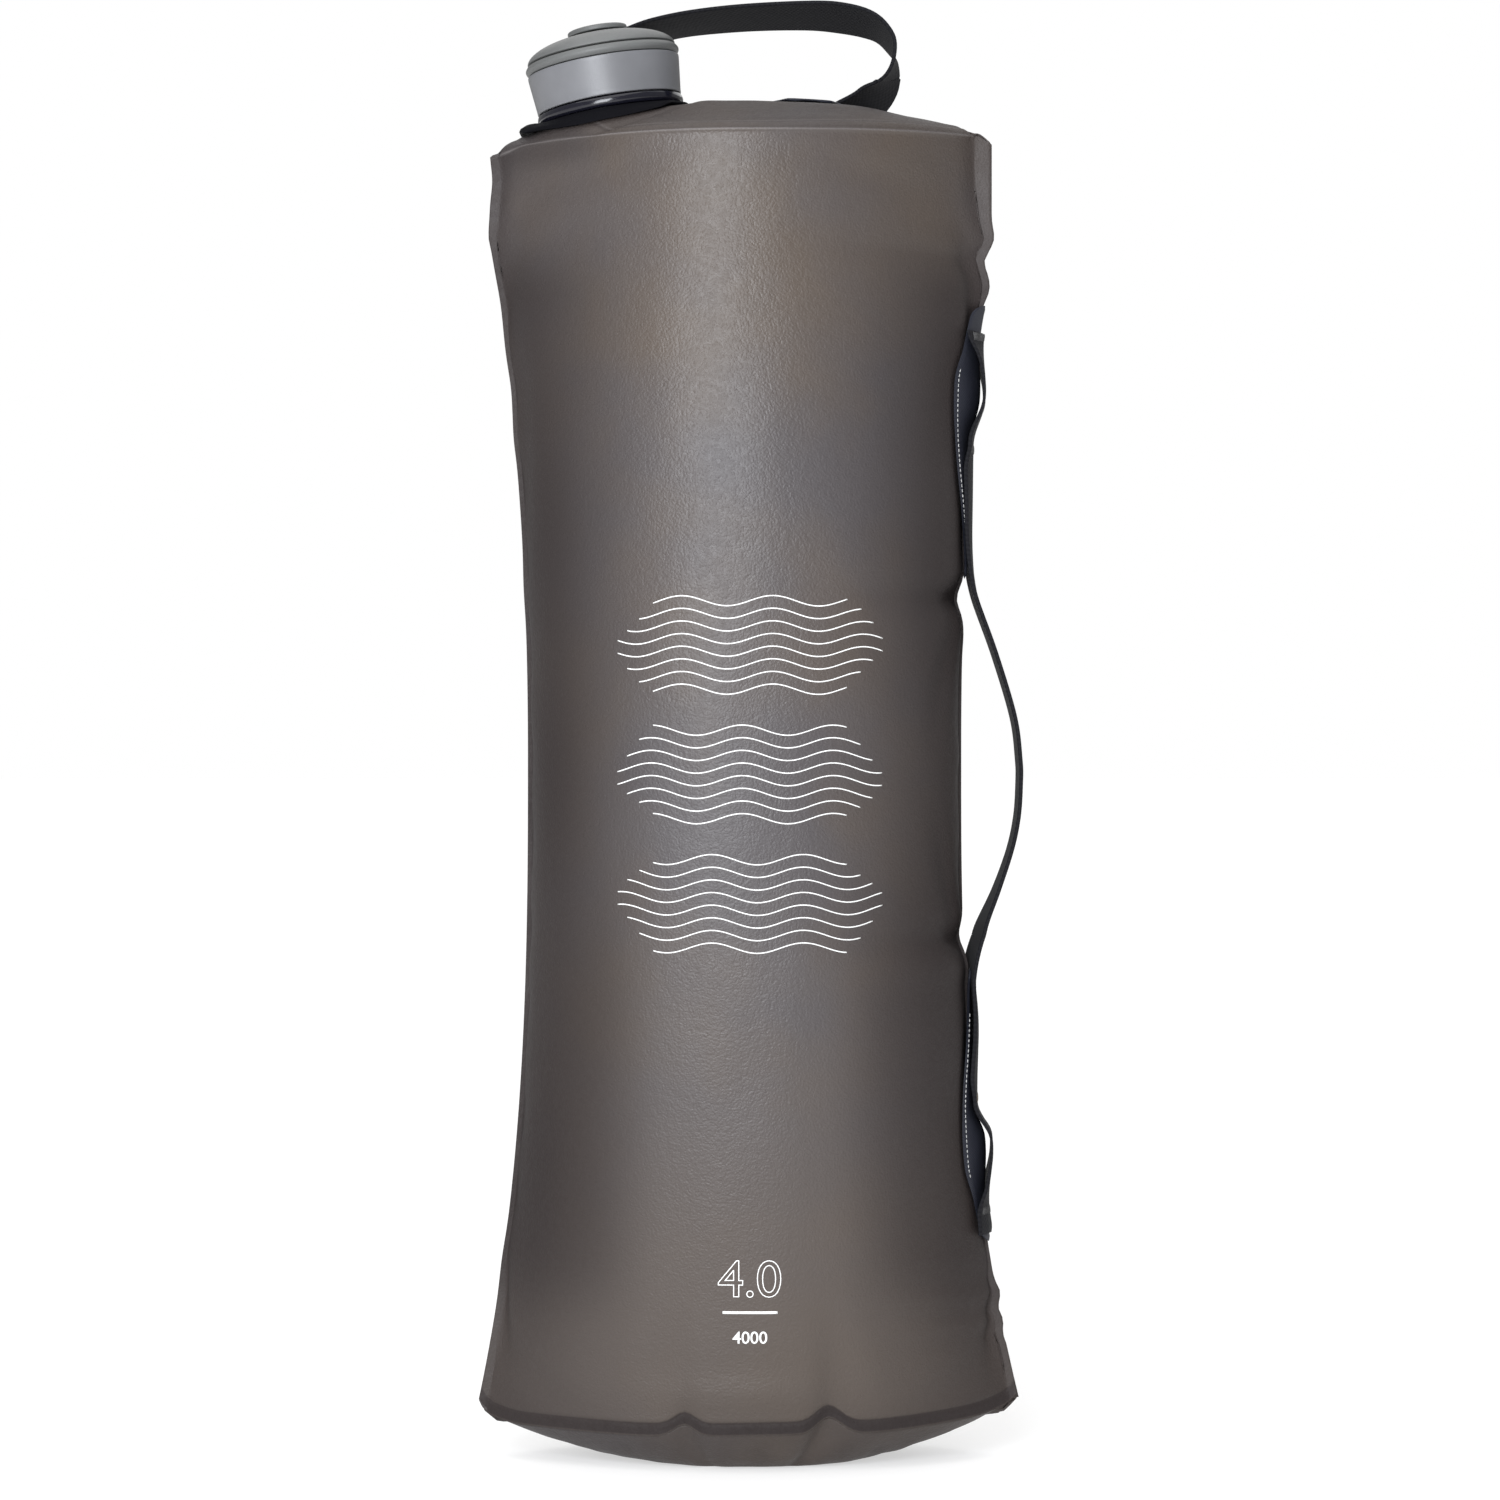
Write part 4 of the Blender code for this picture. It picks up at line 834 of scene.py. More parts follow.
baseFilm = {
    "width": 48.0, "depth": 40.0, "square": 0.6, "power": 1.8, "rows": 0.12, "tuck": 0.35, "tuckLeft": 0.1,
    "drop": 0.15, "crumple": 0.55, "crumples": ((1.0, 15, 11, 3), (0.6, 6, 5, 8)), "fold": 1.1,
    "corner": 0.14, "cornerRow": (0.93, 0.05), "cornerFrom": (0.8, 0.1),
    # Painted shade of the underside and how its crumples vary it, and the painted warm glow over the base film
    "shade": 0.5, "crumpleShade": 0.15, "warmth": (0.2, 0.15),
}


def makeBaseFilm():
    look = baseFilm

    def place(u, v):
        across, facing = seamRing(u)
        rim = filmSpot(across, seamHeights(across, facing)[0], facing)
        rim.y -= facing * min(look["tuck"], abs(rim.y) - look["tuckLeft"])
        rim.z -= look["drop"]
        turn = max(min(across / (1 - bag["finShare"]), 1.0), -1.0) * math.pi / 2
        wide = math.copysign(abs(math.sin(turn)) ** look["square"], across)
        deep = facing * max(math.cos(turn), 0.0) ** look["square"]
        foot = Vector((wide * look["width"], deep * look["depth"], 0)) / 2
        if v <= look["rows"]:
            return foot * (v / look["rows"]), look["shade"], 0.0, look["warmth"][0]
        share = (v - look["rows"]) / (1 - look["rows"])
        spot = foot.lerp(Vector((rim.x, rim.y, 0)), share)
        crumple = sum(depth * noise.noise(Vector((spot.x / sizeX, spot.y / sizeY, seed)))
                      for depth, sizeX, sizeY, seed in look["crumples"])
        corner = look["corner"] * swell(share, *look["cornerRow"]) * ramp(abs(across), *look["cornerFrom"])
        arch = math.sin(share * math.pi)
        height = rim.z * share ** look["power"] * (1 - corner)
        height += (look["crumple"] * crumple + look["fold"] * pucker(rim.x, facing)) * arch
        # Painted shade, varying with the crumples
        shade = look["shade"] + look["crumpleShade"] * crumple * arch
        return Vector((spot.x, spot.y, max(height, 0.0))), min(shade, 1.0), 0.0, look["warmth"][1]

    bm = gridMesh(*bag["baseGrid"], place, ("shade", "rim", "warmth"))
    newEndFilm("baseFilm", bm, "bottom_panel", -1)


makeSideFilms()
makeTopFilm()
makeBaseFilm()
print("film bag made")


# Print on the front: three groups of waving lines, a scale mark and numbers

inkLook = {
    "lift": 0.03, "wall": 0.06, "line": 0.36, "halfWidth": 40.0, "groups": 3, "lines": 8, "pitch": 3.7,
    "groupGap": 12.0, "top": 258.5, "swing": 1.5, "wave": 26.7, "phase": 2.1, "steps": 90,
    "shortening": 2.275, "shortPower": 1.3,  # the lines of a group get shorter towards its top and bottom
    "barZ": 49.0, "barHalf": (8.1, 0.4), "barSteps": 20,
}
numberLook = {
    "largeNumbers": {"words": "4.0", "size": 15.6, "z": 53.8, "outline": True},
    "smallNumbers": {"words": "4000", "size": 5.2, "z": 39.7, "outline": False},
    "line": 0.15, "height": 0.06, "bolder": 0.04, "flatten": 0.35, "lift": 0.08, "curveSteps": 6,
}


def onFront(x, z, lift):
    # The point of the front film's skin at x and z
    middle, half, _, _ = section(z)
    side = 1 if x > middle else -1
    half += edgeWave(side, z) - finWidth(side, z)
    across = math.asin(max(min((x - middle) / half, 1.0), -1.0)) / (math.pi / 2) * (1 - bag["finShare"])
    return filmSpot(across, z, -1, lift)


def makePrint():
    look = inkLook
    joined = bmesh.new()
    middleLine = (look["lines"] - 1) / 2
    groupPitch = (look["lines"] - 1) * look["pitch"] + look["groupGap"]
    for group in range(look["groups"]):
        for line in range(look["lines"]):
            middle = look["top"] - group * groupPitch - line * look["pitch"]
            reach = look["halfWidth"] - look["shortening"] * abs(line - middleLine) ** look["shortPower"]

            def wave(u, v):
                x = (u * 2 - 1) * reach
                swing = look["swing"] * math.sin(x / look["wave"] * math.tau + group * look["phase"])
                return onFront(x, middle + swing + (v - 0.5) * look["line"], look["lift"])

            addMesh(joined, gridMesh(look["steps"], 1, wave))

    def bar(u, v):
        halfWidth, halfHeight = look["barHalf"]
        return onFront((u * 2 - 1) * halfWidth, look["barZ"] + (v * 2 - 1) * halfHeight, look["lift"])

    addMesh(joined, gridMesh(look["barSteps"], 1, bar))
    piece = newPiece("printedLines", joined, inkFinish, "bag")
    thicken(piece, look["wall"], 1.0)
    drawIn(piece)


def makeNumbers(name):
    look, number = numberLook, numberLook[name]
    text = bpy.data.curves.new(name, "FONT")
    text.body, text.size, text.align_x = number["words"], number["size"], "CENTER"
    text.resolution_u = look["curveSteps"]
    if number["outline"]:
        text.fill_mode, text.bevel_depth, text.bevel_resolution = "NONE", look["line"], 1
    else:
        text.extrude, text.offset = look["height"], look["bolder"]
    holder = bpy.data.objects.new(name + "Text", text)
    bpy.context.collection.objects.link(holder)
    bpy.context.view_layer.update()
    mesh = bpy.data.meshes.new_from_object(holder.evaluated_get(bpy.context.evaluated_depsgraph_get()))
    bpy.data.objects.remove(holder)
    bm = bmesh.new()
    bm.from_mesh(mesh)
    bpy.data.meshes.remove(mesh)
    bmesh.ops.remove_doubles(bm, verts=bm.verts, dist=joinWithin["numbers"])
    for vert in bm.verts:
        x, height, off = vert.co
        vert.co = onFront(x, number["z"] + height, look["lift"] + off * look["flatten"])
    bmesh.ops.recalc_face_normals(bm, faces=bm.faces)
    drawIn(newPiece(name, bm, inkFinish, "bag"))


makePrint()
makeNumbers("largeNumbers")
makeNumbers("smallNumbers")
print("print made")


# Neck, flange and strap ring

ringLook = {
    "height": 2.4, "lip": 2.7, "proud": 0.4, "reach": 29.0, "bar": 1.2, "barSegments": 28, "barGaps": 4,
    "earWidth": 2.2, "earRoot": 1.5, "earTall": 0.8, "earEdge": 0.45, "flatAngle": 0.02, "gap": 0.3,
}
threadShape = {"reach": 0.03, "halfWidth": 0.27, "flank": 0.15, "fade": 4}
flangeLook = {
    "columns": 160, "rows": 26, "lift": 0.05, "rimShare": 0.55, "rowPower": 0.85, "rightTrim": 4.5,
    "rightFrom": (0.55, 0.4), "frontTrim": 1.3, "frontFrom": (0.2, 0.6), "waveFrom": (22.5, 4.5),
    # How far it stands off the film, by degrees from its left end
    "wave": ((0, 0.85), (8, 1.0), (16, 1.75), (24, 1.95), (32, 1.5), (42, 1.0), (56, 0.62), (72, 0.8),
             (88, 0.7), (104, 0.37), (120, 0.12), (136, 0.0), (180, 0.0)),
}


def neckSpot(angle, radius):
    x = neck["x"] + radius * math.cos(angle) * math.cos(neck["lean"])
    y = radius * math.sin(angle)
    return Vector((x, y, domeZ(x, y)))


def shapeThread(bm, radius, height, phase):
    # Moves the fine rows of a turned wall out, or in with a negative height, along a helix
    low, high = neck["threadStart"], neck["threadStart"] + neck["threadLength"]
    for vert in bm.verts:
        distance = math.hypot(vert.co.x, vert.co.y)
        if abs(distance - radius) > threadShape["reach"] or not low < vert.co.z < high:
            continue
        offset = (vert.co.z - low) / neck["threadPitch"] - math.atan2(vert.co.y, vert.co.x) / math.tau - phase
        ridge = ramp(abs(offset - round(offset)), threadShape["halfWidth"], -threadShape["flank"])
        fade = min(vert.co.z - low, high - vert.co.z) / neck["threadPitch"] * threadShape["fade"]
        scale = (radius + height * ridge * min(fade, 1.0)) / distance
        vert.co.x *= scale
        vert.co.y *= scale


def threadRows(radius):
    step = neck["threadLength"] / neck["threadRows"]
    return [(radius, neck["threadStart"] + step * row, 0) for row in range(neck["threadRows"] + 1)]


def makeNeck():
    look = flangeLook
    top = -bag["wall"] - ringLook["gap"]
    bottom = top - neck["footWall"]
    outline = [(neck["bore"], neck["height"], 0.5), (neck["bore"], bottom, 0.3), (neck["foot"], bottom, 0.3),
               (neck["foot"], top, 0.3), (neck["radius"], top, 0)]
    bm = turnedMesh(outline + threadRows(neck["radius"]) + [(neck["radius"], neck["height"], 0.5)])
    shapeThread(bm, neck["radius"], neck["threadHeight"], 0.0)
    newPiece("neckSpout", bm, neckFinish, "bag", ["neck_spout"], neckFrame)

    inner = neck["radius"] + ringLook["gap"]
    half = look["rows"] // 2
    toAxis = neckFrame.inverted()

    def place(u, v):
        # v goes out over the flange's top, round its rim and back under it
        angle = u * math.tau
        step = round(v * look["rows"])
        side = 1 if step <= half else -1
        share = step / half if side > 0 else (look["rows"] - step) / half
        fromLeft = abs(math.degrees(angle) - 180)
        outer = neck["flange"] - look["rightTrim"] * ramp(math.cos(angle), *look["rightFrom"])
        outer -= look["frontTrim"] * ramp(-math.sin(angle), *look["frontFrom"])
        radius = mix(inner, outer, min(share, 1.0) ** look["rowPower"])
        ending = min((outer - radius) / (neck["flangeWall"] * look["rimShare"]), 1.0)
        height = neck["flangeWall"] / 2 * (1 + side * math.sqrt(1 - (1 - ending) ** 2))
        wave = smoothTable(look["wave"], fromLeft) * ramp(radius, *look["waveFrom"])
        return toAxis @ neckSpot(angle, radius) + Vector((0, 0, look["lift"] + height + wave))

    bm = gridMesh(look["columns"], look["rows"], place)
    bmesh.ops.remove_doubles(bm, verts=bm.verts, dist=joinWithin["flange"])
    bmesh.ops.bridge_loops(bm, edges=[edge for edge in bm.edges if edge.is_boundary])
    bmesh.ops.recalc_face_normals(bm, faces=bm.faces)
    newPiece("neckFlange", bm, flangeFinish, "bag", ["neck_flange"], neckFrame, sharp=60)


bail = {
    "endX": 28.0, "endY": 17.0, "rise": 29.7, "lean": 15.0, "fold": 10.0, "tail": 19.0, "width": 20.0,
    "wall": 1.2, "sewnLift": 0.75, "seat": 0.12,
    "cutRow": 10, "steps": 7, "tailSteps": 16, "loopSteps": 14, "legStep": 0.33,
    "patchX": 18.0, "patchY": -7.5, "patchLength": 44.7, "patchHalf": 13.4, "patchWall": 0.8, "gap": 0.3,
}
loopTack = {
    "rows": 12, "lines": 2, "from": 0.2, "run": 0.6, "width": 16, "rise": 3.0, "slant": 0.6, "lift": 0.05,
    "thread": 0.28,
}
endTack = {"rows": 21, "half": 8.3, "inset": (2.7, 5.1), "stagger": 0.35, "thread": 0.27, "lift": 0.1}
bailRoute = (  # share of the way, rise and lean of each point between the bar and the sewn end
    (-0.014, 0.482, 0.0), (0.018, 0.715, 0.0), (0.112, 0.905, 0.02), (0.278, 0.975, 0.44), (0.549, 1.0, 0.67),
    (0.838, 1.0, 0.57), (0.999, 0.965, 0.47), (1.130, 0.875, 0.41), (1.206, 0.715, 0.34),
    (1.230, 0.515, 0.29), (1.205, 0.325, 0.19), (1.129, 0.199, 0.05), (1.026, 0.109, -0.02),
)
bailSides = (  # the way in which the webbing's width lies at each of them
    (-0.98, 0.17, 0.0), (-0.97, -0.10, -0.10), (-0.80, -0.58, 0.0), (-0.22, -0.96, 0.15), (0.0, -0.97, 0.21),
    (0.0, -0.97, 0.25), (0.0, -0.96, 0.28), (0.05, -0.96, 0.22), (0.10, -0.98, 0.04), (-0.06, -0.98, 0.03),
    (-0.13, -0.97, 0.10), (-0.20, -0.94, 0.24), (-0.22, -0.93, 0.27),
)


def patchTop(x, y):
    return domeZ(x, y) + bail["gap"] + bail["patchWall"]


ringLow = ringLook["gap"] * 2 + neck["flangeWall"]
bailBar = neckFrame @ Vector((0, ringLook["reach"], ringLow + ringLook["height"] / 2))
sewnZ = patchTop(bail["endX"], bail["endY"]) + bail["gap"] + bail["wall"] / 2 + bail["sewnLift"]
bailSewn = Vector((bail["endX"], bail["endY"], sewnZ))


def bailSpot(row):
    share, rise, lean = bailRoute[row]
    return bailBar + (bailSewn - bailBar) * share + Vector((0, -bail["lean"] * lean, bail["rise"] * rise))


bailHinge = (bailSpot(bail["cutRow"]) - bailBar).normalized()


def makeStrapRing():
    look = ringLook
    inner = neck["radius"] + look["gap"]
    outer = inner + look["lip"]
    low, high = ringLow, ringLow + look["height"]
    middle = (low + high) / 2
    bottom, top = low - look["proud"] * 0.6, high + look["proud"]
    outline = [(inner, high, 0.3), (inner, bottom, 0.2), (outer - 0.5, bottom, 0.5),
               (outer + 0.2, middle - 0.2, 1.0), (outer - 0.2, top, 0.6), (inner + 0.9, top, 0.4)]
    bm = turnedMesh(outline)
    half = bail["width"] / 2 + look["gap"] * look["barGaps"] + look["earWidth"] / 2
    toAxis = neckFrame.inverted()
    ends = [toAxis @ (bailBar + bailHinge * half * side) for side in (-1, 1)]
    facing = (ends[1] - ends[0]).to_track_quat("Z", "Y").to_matrix().to_4x4()
    bmesh.ops.create_cone(bm, cap_ends=True, segments=look["barSegments"], depth=half * 2,
                          radius1=look["bar"], radius2=look["bar"],
                          matrix=Matrix.Translation((ends[0] + ends[1]) / 2) @ facing)
    rootRadius = inner + look["bar"] * look["earRoot"]
    corners = [Vector((x, y, z)) / 2 for x in (-1, 1) for y in (-1, 1) for z in (-1, 1)]
    for end in ends:
        root = Vector((end.x, math.sqrt(max(rootRadius ** 2 - end.x ** 2, 0.0)), middle))
        ear = bmesh.new()
        for spot, tall in ((root, look["height"] * look["earTall"]), (end, look["bar"] * 2)):
            for corner in corners:
                ear.verts.new(spot + corner * Vector((look["earWidth"], look["bar"] * 2, tall)))
        bmesh.ops.convex_hull(ear, input=ear.verts)
        bmesh.ops.dissolve_limit(ear, angle_limit=look["flatAngle"], verts=ear.verts, edges=ear.edges)
        bmesh.ops.bevel(ear, geom=ear.edges, offset=look["earEdge"], offset_type="OFFSET", segments=3,
                        profile=0.5, affect="EDGES", material=-1)
        addMesh(bm, ear)
    bmesh.ops.recalc_face_normals(bm, faces=bm.faces)
    newPiece("strapRing", bm, neckFinish, "bag", ["strap_ring"], neckFrame)


makeNeck()
makeStrapRing()
print("neck made")


# Screw cap with its plug

cap = {
    "sealLow": 15.9, "seal": 1.4, "plate": 2.0, "footRadius": 22.05, "topRadius": 23.2, "lift": 5.1,
    "ringSeat": 17.2, "grip": 23.55, "gripHeight": 3.2, "gripDepth": 2.1, "cover": 22.7, "coverRise": 6.7,
    "coverWall": 1.6, "port": 6.6, "portBore": 4.5, "portFlange": 9.5, "portWall": 1.4, "portDrop": 3.0,
    "plug": 9.1, "plugHead": 1.6, "plugDish": 0.25, "plugRim": (1.9, 2.5), "stem": 4.15, "stemLength": 9.6,
    "oRing": 0.45, "oRingDepth": 6.4, "oRingSteps": 14, "oRingSegments": 64, "oRingSeat": 0.1, "gap": 0.3,
    "threadGap": 0.4, "sealInner": 15.8, "skirtLip": 1.2, "skirtStep": 0.05, "skirtShoulder": 0.9,
    "gripRim": 0.8, "gripRound": 1.0, "coverRim": 0.7, "coverSteps": (28, 10),
}


def domeOutline(wide, tall, low, hole, steps):
    # A quarter of an ellipse from the cover's rim up to its hole
    start = math.acos(hole / wide)
    return [(wide * math.cos(start * row / steps), low + tall * math.sin(start * row / steps), 0)
            for row in range(steps + 1)]


def makeCap():
    gap = cap["gap"]
    sealHigh = cap["sealLow"] + cap["seal"]
    plateLow = sealHigh + gap
    plateHigh = plateLow + cap["plate"]
    bore = neck["radius"] + neck["threadHeight"] + cap["threadGap"]
    ringInner = cap["grip"] - cap["gripDepth"]
    step, stepZ = ringInner - gap, cap["ringSeat"] - gap
    hole = cap["port"] + gap
    outline = [(hole, plateHigh, 0), (hole, plateLow, 0), (bore, plateLow, 0)]
    outline += list(reversed(threadRows(bore)))
    outline += [(bore, cap["lift"], 0.25), (cap["footRadius"], cap["lift"], 0.4),
                (cap["footRadius"] + cap["skirtStep"], cap["lift"] + cap["skirtLip"], 0.3),
                (cap["topRadius"], stepZ - cap["skirtShoulder"], 0.5), (cap["topRadius"], stepZ, 0.3),
                (step, stepZ, 0.1), (step, plateHigh, 0.2)]
    bm = turnedMesh(outline)
    shapeThread(bm, bore, -neck["threadHeight"], 0.5)
    newPiece("capSkirt", bm, capFinish, "cap", ["cap_skirt"], neckFrame)

    low, high = cap["ringSeat"], cap["ringSeat"] + cap["gripHeight"] - gap
    rim, turn = cap["grip"] - cap["gripRim"], cap["gripRound"]
    outline = [(ringInner, high, 0.1), (ringInner, low, 0.1), (rim, low, 0.3),
               (cap["grip"], low + turn, turn), (cap["grip"], high - turn, turn), (rim, high, 0.3)]
    newPiece("capGripRing", turnedMesh(outline), softFinish, "cap", ["cap_grip_ring"], neckFrame)

    coverLow = max(plateHigh, high) + gap
    wall, (outerSteps, innerSteps) = cap["coverWall"], cap["coverSteps"]
    outer = domeOutline(cap["cover"], cap["coverRise"], coverLow, hole, outerSteps)
    portTop = outer[-1][1]
    outer[0] = (cap["cover"] - cap["coverRim"], coverLow, 0.2)
    inner = domeOutline(cap["cover"] - wall, cap["coverRise"] - wall, coverLow, hole, innerSteps)
    bm = turnedMesh(outer + inner[::-1])
    newPiece("capTopCover", bm, softFinish, "cap", ["cap_top_cover"], neckFrame)

    sealOuter = bore - gap - cap["threadGap"]
    outline = [(cap["sealInner"], sealHigh, 0.3), (cap["sealInner"], cap["sealLow"], 0.3),
               (sealOuter, cap["sealLow"], 0.3), (sealOuter, sealHigh, 0.3)]
    newPiece("capSeal", turnedMesh(outline), sealFinish, "cap_lift", ["cap_seal"], neckFrame)

    portLow = plateLow - cap["portDrop"]
    flangeLow = plateHigh + gap
    flangeHigh = flangeLow + cap["portWall"]
    outline = [(cap["portBore"], portTop, 0.2), (cap["portBore"], portLow, 0.2), (cap["port"], portLow, 0.2),
               (cap["port"], flangeLow, 0), (cap["portFlange"], flangeLow, 0.2),
               (cap["portFlange"], flangeHigh, 0.2), (cap["port"], flangeHigh, 0),
               (cap["port"], portTop, 0.2)]
    newPiece("portSeat", turnedMesh(outline), capFinish, "cap", ["port_seat"], neckFrame)

    headLow = portTop + gap
    headHigh = headLow + cap["plugHead"]
    stemLow = headLow - cap["stemLength"]
    groove = headLow - cap["oRingDepth"]
    grooveRadius = cap["stem"] - cap["oRing"] * 2
    grooveLow, grooveHigh = groove - cap["oRing"] - gap, groove + cap["oRing"] + gap
    dishZ = headHigh - cap["plugDish"]
    rimInner, dishOuter = (cap["plug"] - inset for inset in cap["plugRim"])
    outline = [(0, dishZ, 0), (0, stemLow, 0), (cap["stem"], stemLow, 0.5), (cap["stem"], grooveLow, 0.1),
               (grooveRadius, grooveLow, 0.1), (grooveRadius, grooveHigh, 0.1),
               (cap["stem"], grooveHigh, 0.1), (cap["stem"], headLow, 0.1), (cap["plug"], headLow, 0.4),
               (cap["plug"], headHigh, 0.7), (rimInner, headHigh, 0.4), (dishOuter, dishZ, 0.3)]
    newPiece("portPlug", turnedMesh(outline), softFinish, "plug", ["port_plug"], neckFrame)

    centre = grooveRadius + cap["oRing"] + cap["oRingSeat"]
    turns = [math.tau * row / cap["oRingSteps"] for row in range(cap["oRingSteps"])]
    wire = [(centre + cap["oRing"] * math.cos(turn), groove - cap["oRing"] * math.sin(turn), 0)
            for turn in turns]
    bm = turnedMesh(wire, cap["oRingSegments"])
    newPiece("plugORing", bm, sealFinish, "plug", ["plug_o_ring"], neckFrame)


makeCap()
print("cap made")


# Bail and its patch on the top

patchOutline = (  # half width of a patch at each share of its length
    (0.0, 0.14), (0.01, 0.33), (0.035, 0.52), (0.16, 0.72), (0.25, 0.95), (0.32, 1.0), (0.45, 1.0),
    (0.62, 0.93), (0.80, 0.71), (0.92, 0.42), (0.98, 0.24), (1.0, 0.12),
)
patchGrid = {"columns": 26, "rows": 64, "rimShare": 0.07, "endRound": 0.5}


def newPatch(name, node, place, length, halfWidth):
    # A patch with round edges: place(share, across, off) gives its points, and off is 0 at its lower face
    columns, rows = patchGrid["columns"], patchGrid["rows"]

    def spot(u, v):
        around = round(u * columns * 2) % (columns * 2)
        side = 1 if around <= columns else -1
        across = (around if side > 0 else columns * 2 - around) / columns * 2 - 1
        edge = min((1 - abs(across)) / patchGrid["rimShare"], 1.0)
        ending = min(min(v, 1 - v) * length / patchGrid["endRound"], 1.0)
        thick = math.sqrt(1 - (1 - edge) ** 2) * math.sqrt(1 - (1 - ending) ** 2) / 2
        return place(v, across, 0.5 + thick * side)

    bm = gridMesh(columns * 2, rows, spot, size=(halfWidth * 4, length))
    closeMesh(bm, joinWithin["patch"])
    drawIn(newPiece(name, bm, patchFinish, "bag", [node], sharp=60))


def makeBail():
    along = bailHinge
    up = Vector((0, 0, 1))
    up = (up - along * up.dot(along)).normalized()
    back = up.cross(along)
    steps, cut = bail["steps"], bail["steps"] * (bail["cutRow"] + 1)
    legTop = bailBar + up * bail["fold"] + back * bail["wall"] / 2
    route = [legTop] + [bailSpot(row) for row in range(len(bailRoute))] + [bailSewn]
    sides = [-along, *map(Vector, bailSides), Vector((0, -1, 0))]
    run, turned = (smoothTrack(points, steps * (len(route) - 1)) for points in (route, sides))
    bend = ringLook["bar"] + bail["gap"] + bail["wall"] / 2
    inner = legTop - back * (bail["wall"] + bail["gap"] / 2)
    loop = [inner.lerp(bailBar - back * bend, row * bail["legStep"]) for row in range(3)]
    for step in range(bail["loopSteps"] + 1):
        turn = math.pi * step / bail["loopSteps"]
        loop.append(bailBar - back * bend * math.cos(turn) - up * bend * math.sin(turn))
    loop += [legTop.lerp(bailBar + back * bend, row * bail["legStep"]) for row in (2, 1)]
    widthWays = [-along] * len(loop) + turned[:cut + 1]
    bm = ribbonMesh(loop + run[:cut + 1], widthWays, bail["width"], bail["wall"])
    newPiece("bailStrap", bm, webFinish, "bail", ["bail_strap"])

    step = bail["tail"] / bail["tailSteps"]
    free = run[cut:]
    tail = [bailSewn - Vector((step * index, 0, 0)) for index in range(1, bail["tailSteps"] + 1)]

    def settle(spot, off, index):
        seat = patchTop(spot.x, spot.y) + bail["seat"] + bail["wall"] / 2 + off
        spot.z = mix(spot.z, seat, ease((index + 1) / len(free)) if index else 0.0)
        return spot

    widthWays = turned[cut:] + [Vector((0, -1, 0))] * len(tail)
    bm = ribbonMesh(free + tail, widthWays, bail["width"], bail["wall"], settle)
    piece = newPiece("bailSewnEnd", bm, webFinish, None, ["bail_sewn_end"])
    metres(bailSewn)
    metres(run[cut])
    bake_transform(piece)

    tack = loopTack
    bm = bmesh.new()  # threads that close the loop round the bar
    for row in range(tack["rows"] + 1):
        for line in range(tack["lines"]):
            start = loop[-1].lerp(run[0], tack["from"] + tack["run"] * line / tack["lines"])
            start += back * (bail["wall"] / 2 + tack["lift"])
            start += along * (row / tack["rows"] - 0.5) * tack["width"]
            addStitch(bm, start, start + up * tack["rise"] + along * tack["slant"], tack["thread"])
    newPiece("bailLoopBartack", bm, tackFinish, "bail", ["bail_loop_bartack"])

    def anchor(v, across, off):
        y = bail["patchY"] + bail["patchLength"] * v
        x = bail["patchX"] + bail["patchHalf"] * smoothTable(patchOutline, v) * across
        return Vector((x, y, domeZ(x, y) + bail["gap"] + off * bail["patchWall"]))

    newPatch("bailAnchorPatch", "bail_anchor_patch", anchor, bail["patchLength"], bail["patchHalf"])

    tack = endTack
    bm = bmesh.new()
    for row in range(tack["rows"] + 1):
        y = bail["endY"] + (row / tack["rows"] * 2 - 1) * tack["half"]
        ends = []
        for inset in tack["inset"]:
            x = bail["endX"] - inset + tack["stagger"] * (row % 2)
            ends.append(Vector((x, y, patchTop(x, y) + bail["seat"] + bail["wall"] + tack["lift"])))
        addStitch(bm, *ends, tack["thread"])
    newPiece("bailEndBartack", bm, tackFinish, "bag", ["bail_end_bartack"])


makeBail()
print("bail made")


# Side patches, lash loops and handle

side = {
    "patchLength": 83.0, "patchHalf": 12.8, "patchWall": 0.8, "gap": 0.3, "webWidth": 20.0, "webWall": 1.2,
    "patchLift": 0.12, "webLift": 0.06, "lashStart": 0.1, "lashEnd": 0.51, "steps": 70,
    "standOff": 4.6, "freePower": 2.6, "freeSeat": 4, "pinShare": 0.86, "pinX": 65,
    "cling": 0.35, "sewnCling": 0.85, "clingRuns": (0.12, 0.1), "tilt": 0.05,
    "twist": 0.12, "twistAt": (150, 22), "stand": 0.7, "standAt": (131, 13),
    "endThin": 0.6, "endRows": 3, "loopThin": 0.25,
}
sideEnds = {  # what differs between the two ends of the strap
    "upper": {"tip": 350.0, "towards": -1, "handleEnd": 257.75, "hump": 2.35, "bow": 0.65, "peak": 0.6,
              "tail": 0.1},
    "lower": {"tip": 65.5, "towards": 1, "handleEnd": 157.75, "hump": 2.8, "bow": 1.15, "peak": 0.68,
              "tail": 0.03},
}
stitches = {
    "pitch": 1.5, "length": 0.95, "start": 0.24, "share": 0.6, "inset": 0.75, "off": 1.1, "thread": 0.15,
}
bartack = {"height": 2.6, "half": 8.4, "rows": 23, "slant": 0.3, "thread": 0.25, "sink": 0.05}
handle = {"bow": 0.1275, "steps": 90, "turn": -0.11, "turnAt": (0.97, 0.16)}  # it twists a little low down
handleBows = (  # share of the way down the handle, and how far it bows out there
    (0.0, 0.0), (0.145, 0.41), (0.33, 0.84), (0.46, 0.97), (0.53, 0.98), (0.63, 0.93), (0.73, 0.77),
    (0.85, 0.45), (0.95, 0.125), (1.0, 0.0),
)


